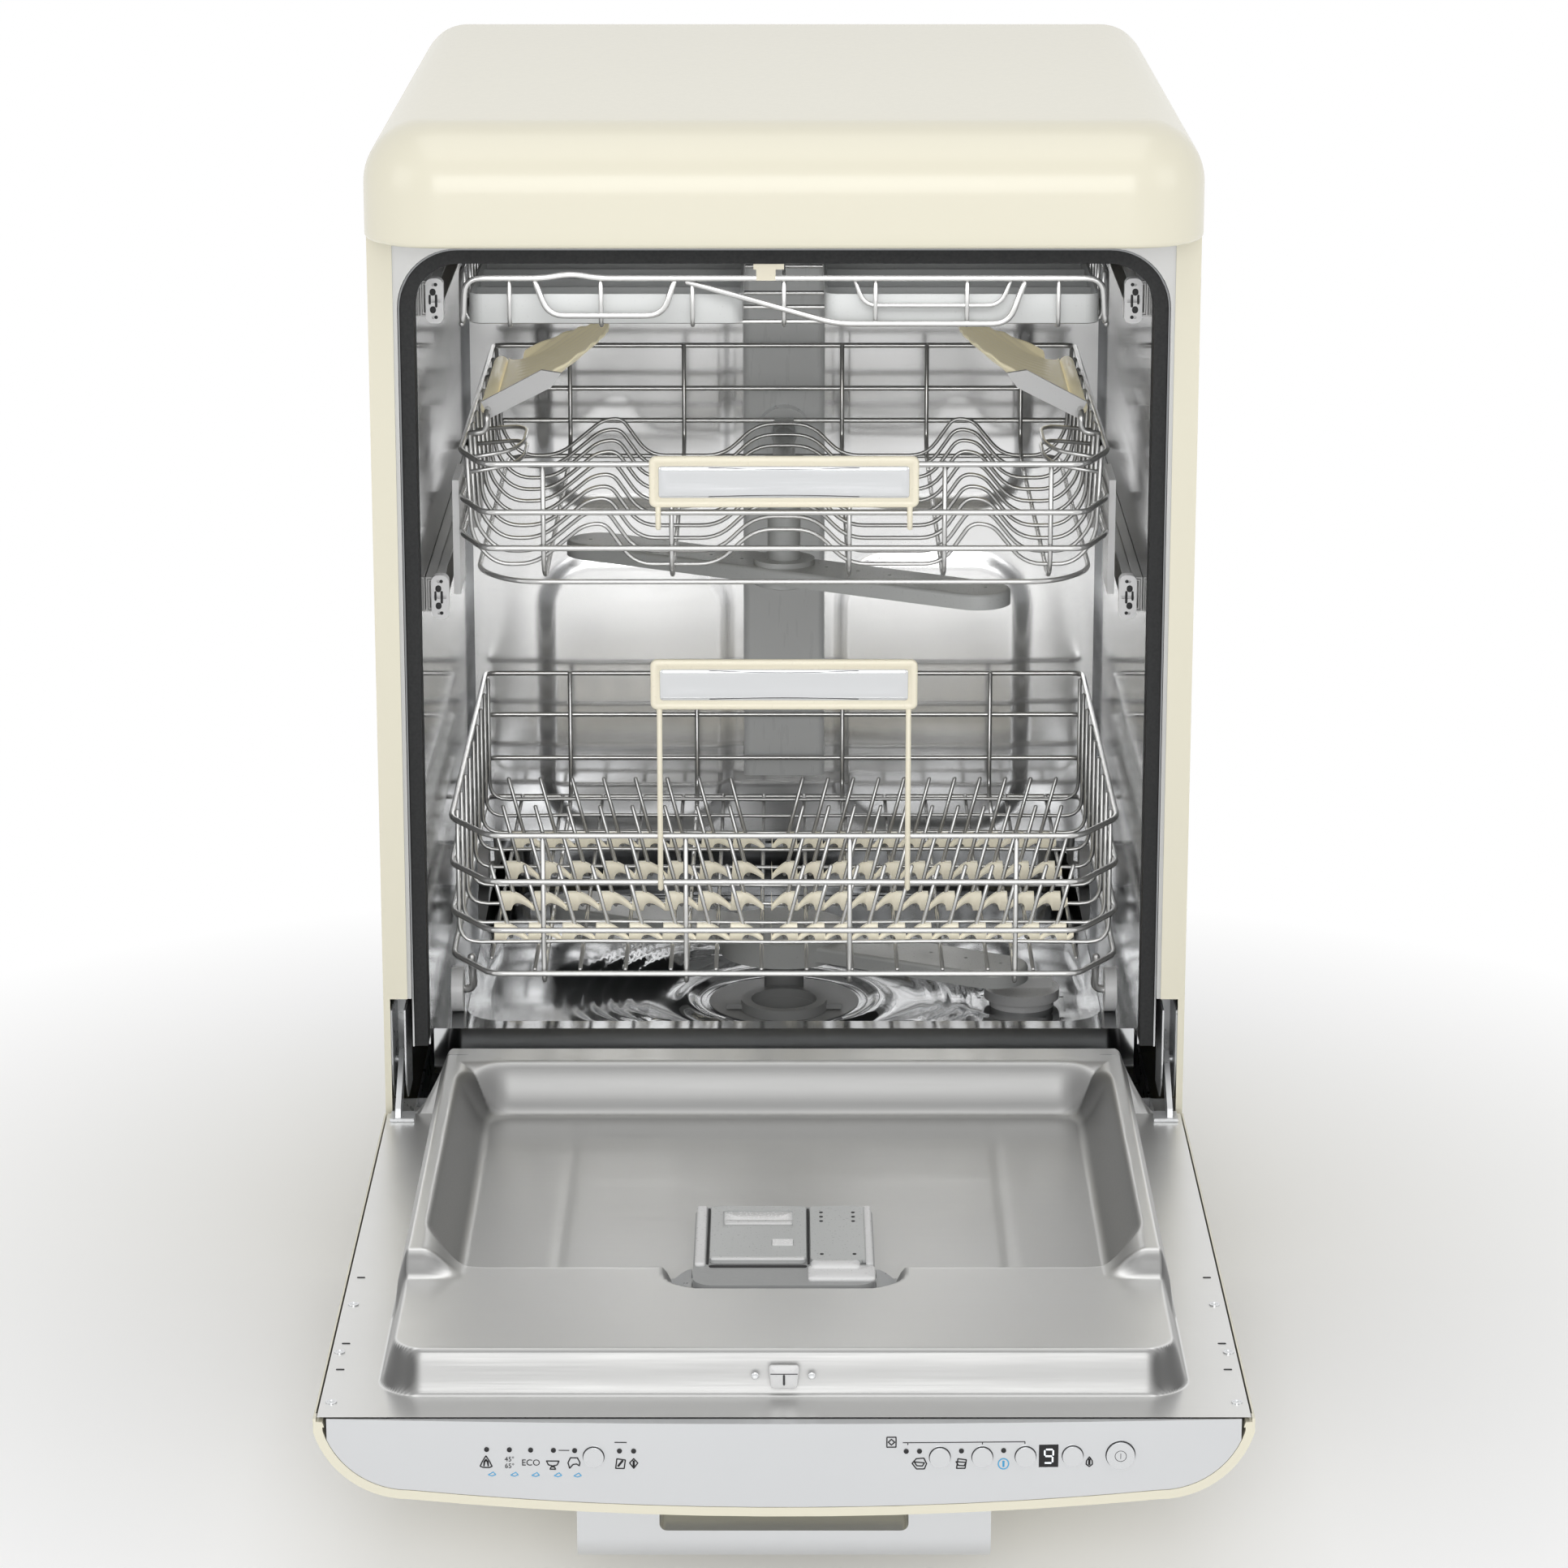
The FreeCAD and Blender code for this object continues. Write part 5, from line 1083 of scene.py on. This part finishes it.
@dataclass
class UpperRack:
    """The upper basket's wires, its wavy floor and its leaf-shaped cup flaps."""

    front: float = 0.038
    back: float = 0.520
    half: float = 0.240
    nose: float = 0.221
    bend_y: float = 0.088
    floor: float = 0.534
    rims: tuple[float, ...] = (0.625, 0.589, 0.562)
    heavy: float = 0.00225
    fine: float = 0.0016
    flap_z: float = 0.641
    flap_x: float = 0.224

    def build(self) -> None:
        """Make every piece of the rack."""
        self.wires()
        for side in Side:
            self.flap(side)

    def wires(self) -> None:
        """Rims, upright posts and floor wires that wave across the machine."""
        gather = Bundle()
        for z in self.rims:
            gather.wire([(-self.nose, self.front, z), (self.nose, self.front, z), (self.half, self.bend_y, z),
                         (self.half, self.back, z), (-self.half, self.back, z), (-self.half, self.bend_y, z)],
                        self.heavy, bend=0.01, closed=True)
        gather.wire([(-0.2, self.front + 0.012, self.floor), (0.2, self.front + 0.012, self.floor),
                     (self.half - 0.012, self.bend_y, self.floor), (self.half - 0.012, self.back - 0.01, self.floor),
                     (0.012 - self.half, self.back - 0.01, self.floor), (0.012 - self.half, self.bend_y, self.floor)],
                    self.heavy - 0.0003, bend=0.022, closed=True)
        inner = 0.0035
        for x in (-0.177, -0.0827, 0.048, 0.118, 0.196):
            gather.wire([(x, self.front + inner, 0.626), (x, self.front + inner, self.floor + 0.012),
                         (x, self.front + 0.03, self.floor), (x, self.back - 0.03, self.floor),
                         (x, self.back - inner, self.floor + 0.01), (x, self.back - inner, 0.626)],
                        self.fine + 0.0002, bend=0.014)
        wave = [(-0.2365, 0.626), (-0.233, 0.556), (-0.216, 0.5365), (-0.186, 0.5365), (-0.150, 0.566),
                (-0.134, 0.568), (-0.112, 0.5365), (-0.05, 0.5365), (-0.022, 0.563), (0.022, 0.563),
                (0.048, 0.5365), (0.118, 0.5365), (0.140, 0.568), (0.156, 0.566), (0.180, 0.5365), (0.216, 0.5365),
                (0.233, 0.556), (0.2365, 0.626)]
        for y in np.linspace(0.098, 0.5, 10):
            gather.wire([(x, y, z) for x, z in wave], self.fine, bend=0.014)
        for side in Side:
            x = side.value * self.flap_x
            gather.wire([(side.value * 0.2376, 0.15, 0.625), (x, 0.15, 0.627), (x, 0.15, self.flap_z),
                         (x, 0.376, self.flap_z), (x, 0.376, 0.627), (side.value * 0.2376, 0.376, 0.625)], 0.0024,
                        bend=0.006)
            for z in (0.602, 0.613):
                gather.wire([(side.value * 0.236, 0.12, z), (side.value * 0.205, 0.125, z + 0.004),
                             (side.value * 0.196, 0.15, z + 0.006), (side.value * 0.196, 0.2, z + 0.006),
                             (side.value * 0.205, 0.22, z + 0.004), (side.value * 0.236, 0.226, z)], self.fine,
                            bend=0.012)
        gather.make("upper_rack_wires", "upper_basket", WIRE, ("upper_basket_wires",))

    def flap(self, side: Side) -> None:
        """One cup flap: a leaf-shaped, ribbed shell hinged along its straight edge.

        Across, the leaf runs from the hinge to a reach of 84 mm times sin(pi t^0.8)^0.55 of the run t; its
        height is the tilt plus a shallow camber and fine ribs that fan along it.

        Args:
            side: Which side of the rack it is on.
        """
        u, v = np.meshgrid(np.linspace(0, 1, 34), np.linspace(0, 1, 90))
        reach = 0.090 * np.sin(np.pi * np.clip(v, 0.02, 0.995) ** 0.85) ** 0.5 + 0.004
        out = reach * u
        ribs = 0.0006 * np.sin(2 * np.pi * 13 * (v + 0.16 * u)) * smoothstep(u, 0.1, 0.25)
        rise = 0.006 * np.sin(np.pi * u) + ribs
        tilt = math.radians(28)
        x = self.flap_x - 0.006 - (out * math.cos(tilt) + rise * math.sin(tilt))
        z = self.flap_z + 0.001 + out * math.sin(tilt) - rise * math.cos(tilt) + 0.003
        y = 0.172 + 0.182 * v
        top = np.stack([side.value * x, y, z], axis=-1)
        bottom = top.copy()
        bottom[..., 2] -= 0.0022
        shell = np.concatenate([top, bottom[:, ::-1]], axis=1)
        faces = grid_faces(shell.shape[0], shell.shape[1], wrap_columns=True)
        if side is Side.LEFT:
            faces = faces[:, ::-1]
        leaf = Bundle()
        leaf.add(shell, faces)
        hinge = side.value * self.flap_x
        leaf.add(*swept_tube(np.array([[hinge, 0.172, self.flap_z], [hinge, 0.262, self.flap_z],
                                       [hinge, 0.354, self.flap_z]]), 0.0058, around=16))
        name = "left" if side is Side.LEFT else "right"
        lever = Bundle()
        along = np.array([math.cos(tilt), math.sin(tilt)])
        across = np.array([-math.sin(tilt), math.cos(tilt)])
        plan = np.array([[-0.002, -0.007], [0.05, -0.008], [0.062, -0.002], [0.05, 0.007], [-0.002, 0.007]])
        flat = plan[:, :1] * along + plan[:, 1:] * across
        fx, fz = side.value * (self.flap_x - flat[:, 0]), self.flap_z + flat[:, 1]
        sheet = np.array([[-1, 0.1658], [0, 0.1658], [0, 0.1704], [-1, 0.1704]])
        rings = [np.stack([fx * (1 + k * 0) if k == 0 else np.full_like(fx, fx.mean()), np.full_like(fx, at),
                           fz if k == 0 else np.full_like(fz, fz.mean())], -1) for k, at in sheet]
        lever.add(np.array(rings), grid_faces(4, len(plan), wrap_columns=True))
        lever.make("cup_lever_" + name, "cup_flap_" + name, LIGHT_GREY, smooth=False)
        leaf.make("cup_leaf_" + name, "cup_flap_" + name, LEAF_PAINTED_GLOW, ("cup_flap_" + name,))


@dataclass
class TopTray:
    """The third-level tray's wire frame with its peaked front rail and hanging loops."""

    half: float = 0.236
    front: float = 0.046
    back: float = 0.520
    top: float = 0.761
    low: float = 0.724
    heavy: float = 0.00225
    fine: float = 0.0017

    def build(self) -> None:
        """Make the tray's wires."""
        gather = Bundle()
        h, f, t = self.half, self.front, self.top
        gather.wire([(-h, self.back, t), (-h, f + 0.03, t), (-h + 0.002, f, self.low), (-h + 0.004, f, t),
                     (-0.175, f, t), (-0.155, f, t + 0.0035), (-0.135, f, t), (h - 0.004, f, t),
                     (h - 0.002, f, self.low), (h, f + 0.03, t), (h, self.back, t), (-h, self.back, t)],
                    self.heavy, bend=0.012)
        gather.wire([(-0.182, f + 0.003, t), (-0.172, f + 0.003, 0.733), (-0.088, f + 0.003, 0.733),
                     (-0.079, f + 0.003, t)], self.heavy, bend=0.012)
        gather.wire([(-0.071, f + 0.003, t - 0.003), (0.038, f + 0.003, 0.727), (0.164, f + 0.003, 0.727),
                     (0.175, f + 0.003, t - 0.003)], self.heavy, bend=0.012)
        gather.wire([(0.051, f + 0.006, t), (0.058, f + 0.006, 0.740), (0.158, f + 0.006, 0.740),
                     (0.166, f + 0.006, t)], self.fine, bend=0.01)
        gather.wire([(-h, f + 0.02, self.low), (-h, self.back, self.low), (h, self.back, self.low),
                     (h, f + 0.02, self.low)], self.heavy, bend=0.02)
        for y in np.linspace(0.07, 0.50, 8):
            gather.wire([(-h + 0.002, y, t), (-h + 0.003, y, self.low + 0.001), (h - 0.003, y, self.low + 0.001),
                         (h - 0.002, y, t)], self.fine, bend=0.01)
        for x in np.linspace(-0.2, 0.2, 7):
            gather.wire([(x, f + 0.004, t - 0.001), (x, f + 0.006, self.low), (x, self.back - 0.004, self.low),
                         (x, self.back - 0.003, t - 0.001)], self.fine, bend=0.01)
        gather.make("top_tray_wires", "top_tray", WIRE, ("top_tray_frame",))


@dataclass
class BasketHandle:
    """A rack's grip: a cream frame round a plain bright insert, on two thin legs."""

    name: str
    body: str
    node: str
    low: float
    high: float
    foot: float
    half: float = 0.0988
    front: float = 0.0306
    back: float = 0.0353

    def build(self) -> None:
        """Make the frame, the insert and its two drawn lines."""
        middle, tall = (self.low + self.high) / 2, (self.high - self.low) / 2
        centre = (0.0, self.back, middle)
        depth = self.back - self.front
        frame_piece = Bundle()
        frame_piece.add(*rounded_shell(centre, (self.half, tall), 0.005,
                                       [(tall, 0.0), (0.0005, 0.0), (0, 0.0006), (0, depth - 0.0012),
                                        (0.0012, depth), (0.0045, depth), (0.0052, depth - 0.001),
                                        (tall, depth - 0.001)]))
        for side in Side:
            x = side.value * (self.half - 0.0065)
            frame_piece.wire([(x, self.back - 0.0021, self.low + 0.004), (x, self.back - 0.0021, self.foot)], 0.0021,
                             around=10)
        frame_piece.make(self.name + "_frame", self.body, CREAM, (self.node,))
        insert = Bundle()
        insert.add(*rounded_shell((0.0, self.back - depth + 0.0011, middle), (self.half - 0.0068, tall - 0.007),
                                  0.0025, [(tall, 0.0), (0, 0.0), (0.0004, 0.0007), (0.003, 0.0009),
                                           (0.007, 0.0006), (tall, 0.0003)]))
        insert.make(self.name + "_insert", self.body, CHROME)
        lines = Bundle()
        for z in (self.low + 0.0082, self.high - 0.0082):
            x = np.linspace(-0.055, 0.055, 12)
            sag = 0.0012 * (1 - (x / 0.055) ** 2) * (1 if z < middle else -1)
            lines.wire([(a, self.front + 0.0003, z + b) for a, b in zip(x, sag)], 0.0003, around=4)
        lines.make(self.name + "_lines", self.body, INK)


@dataclass
class RailCaps:
    """Dark holes in the four rail end caps."""

    middle: float = 0.2545
    face: float = 0.0507

    def build(self) -> None:
        """Make the marks of each pair of caps."""
        for name, body, z in (("upper", "upper_runners", 0.522), ("tray", "tray_runners", 0.7435)):
            marks = Bundle()
            for side in Side:
                x = side.value * self.middle
                for dx, dz, half in ((0.001, 0.012, (0.0013, 0.0013)), (-0.0012, 0.0065, (0.0022, 0.0026)),
                                     (0.0012, 0.0, (0.0009, 0.0048)), (-0.0034, 0.001, (0.0008, 0.0036)),
                                     (-0.0012, -0.0065, (0.0022, 0.0026)), (0.001, -0.012, (0.0013, 0.0013))):
                    marks.add(*spot((x - side.value * dx, self.face, z + dz), half, 0.0002))
            marks.make("cap_holes_" + name, body, INK)


# ------------------------------------------------------------------ studio


@dataclass
class Studio:
    """Camera, floor, soft lamps and a white surround."""

    distance: float = 3.500
    height: float = 1.360
    pitch: float = 15.45
    lens: float = 113.1

    def build(self) -> None:
        """Set the stage."""
        self.camera()
        self.floor()
        self.world()
        self.lamps()
        bpy.context.scene.view_settings.view_transform = "Standard"

    def camera(self) -> None:
        """Camera square in front, above the machine and looking slightly down."""
        data = bpy.data.cameras.new("camera")
        data.lens = self.lens
        data.sensor_width = 36.0
        data.clip_end = 60.0
        holder = bpy.data.objects.new("camera", data)
        holder.location = (0.0, -self.distance, self.height)
        holder.rotation_euler = (math.radians(90 - self.pitch), 0.0, 0.0)
        bpy.context.scene.collection.objects.link(holder)
        bpy.context.scene.camera = holder

    def white_rays(self, tree: bpy.types.NodeTree) -> bpy.types.NodeSocket:
        """A factor that is 1 for camera, glossy and transmission rays.

        Args:
            tree: The nodes it is added to.

        Returns:
            The factor's socket.
        """
        path = tree.nodes.new("ShaderNodeLightPath")
        first = tree.nodes.new("ShaderNodeMath")
        first.operation = "MAXIMUM"
        tree.links.new(path.outputs["Is Camera Ray"], first.inputs[0])
        tree.links.new(path.outputs["Is Glossy Ray"], first.inputs[1])
        second = tree.nodes.new("ShaderNodeMath")
        second.operation = "MAXIMUM"
        tree.links.new(first.outputs[0], second.inputs[0])
        tree.links.new(path.outputs["Is Transmission Ray"], second.inputs[1])
        return second.outputs[0]

    def floor(self) -> None:
        """A wide pale floor that keeps the machine's shadow."""
        span = np.linspace(-12, 12, 9)
        x, y = np.meshgrid(span, span)
        points = np.stack([x, y, np.full_like(x, -0.0005)], axis=-1)
        floor = put_mesh("studio_floor", points, grid_faces(9, 9))
        material = bpy.data.materials.new("pale_floor")
        material.use_nodes = True
        shader = material.node_tree.nodes["Principled BSDF"]
        shader.inputs["Base Color"].default_value = (0.93, 0.93, 0.93, 1)
        shader.inputs["Roughness"].default_value = 0.7
        tree = material.node_tree
        place = tree.nodes.new("ShaderNodeTexCoord")
        shift = tree.nodes.new("ShaderNodeVectorMath")
        shift.operation = "DISTANCE"
        shift.inputs[1].default_value = (0.0, 0.0, 0.0)
        tree.links.new(place.outputs["Object"], shift.inputs[0])
        fade = tree.nodes.new("ShaderNodeMapRange")
        fade.inputs["From Min"].default_value = 0.35
        fade.inputs["From Max"].default_value = 1.05
        tree.links.new(shift.outputs["Value"], fade.inputs["Value"])
        glow = tree.nodes.new("ShaderNodeEmission")
        mix = tree.nodes.new("ShaderNodeMixShader")
        tree.links.new(fade.outputs["Result"], mix.inputs["Fac"])
        tree.links.new(shader.outputs["BSDF"], mix.inputs[1])
        tree.links.new(glow.outputs["Emission"], mix.inputs[2])
        tree.links.new(mix.outputs["Shader"], tree.nodes["Material Output"].inputs["Surface"])
        floor.data.materials.append(material)

    def world(self) -> None:
        """White to the camera and to reflections, and a dim even fill for everything else."""
        world = bpy.data.worlds.new("studio")
        world.use_nodes = True
        bpy.context.scene.world = world
        tree = world.node_tree
        ground = tree.nodes["Background"]
        ground.inputs["Color"].default_value = (1, 1, 1, 1)
        mix = tree.nodes.new("ShaderNodeMapRange")
        mix.inputs["To Min"].default_value = 0.45
        mix.inputs["To Max"].default_value = 1.0
        tree.links.new(self.white_rays(tree), mix.inputs["Value"])
        tree.links.new(mix.outputs["Result"], ground.inputs["Strength"])

    def lamps(self) -> None:
        """Large soft lamps above, in front and to the sides."""
        for name, place, turn, wide, power in (
                ("overhead", (0, -0.6, 3.2), (0, 0, 0), 2.6, 24),
                ("front", (0, -4.0, 1.5), (78, 0, 0), 2.0, 44),
                ("left", (-3.0, -1.6, 1.6), (72, 0, -60), 1.8, 12),
                ("right", (3.0, -1.6, 1.6), (72, 0, 60), 1.8, 12)):
            data = bpy.data.lights.new(name, "AREA")
            data.size = wide
            data.energy = power
            lamp = bpy.data.objects.new(name, data)
            lamp.location = place
            lamp.rotation_euler = tuple(math.radians(a) for a in turn)
            bpy.context.scene.collection.objects.link(lamp)
        data = bpy.data.lights.new("chamber", "AREA")
        data.shape = "RECTANGLE"
        data.size, data.size_y, data.energy = 0.44, 0.02, 0.16
        strip = bpy.data.objects.new("chamber", data)
        strip.location = (0.0, 0.031, 0.7735)
        strip.rotation_euler = (math.radians(48), 0.0, 0.0)
        bpy.context.scene.collection.objects.link(strip)


def main() -> None:
    """Build every sub-assembly in order."""
    logging.basicConfig(level=logging.INFO, format="%(message)s")
    CarriedNodes().dress()
    Cabinet().build()
    Door().build()
    LowerRack().build()
    UpperRack().build()
    TopTray().build()
    BasketHandle("upper_grip", "upper_basket", "upper_basket_handle", 0.594, 0.632, 0.578).build()
    BasketHandle("lower_grip", "lower_basket", "lower_basket_handle", 0.441, 0.479, 0.302).build()
    RailCaps().build()
    Studio().build()
    bpy.context.view_layer.update()


if __name__ == "__main__":
    main()
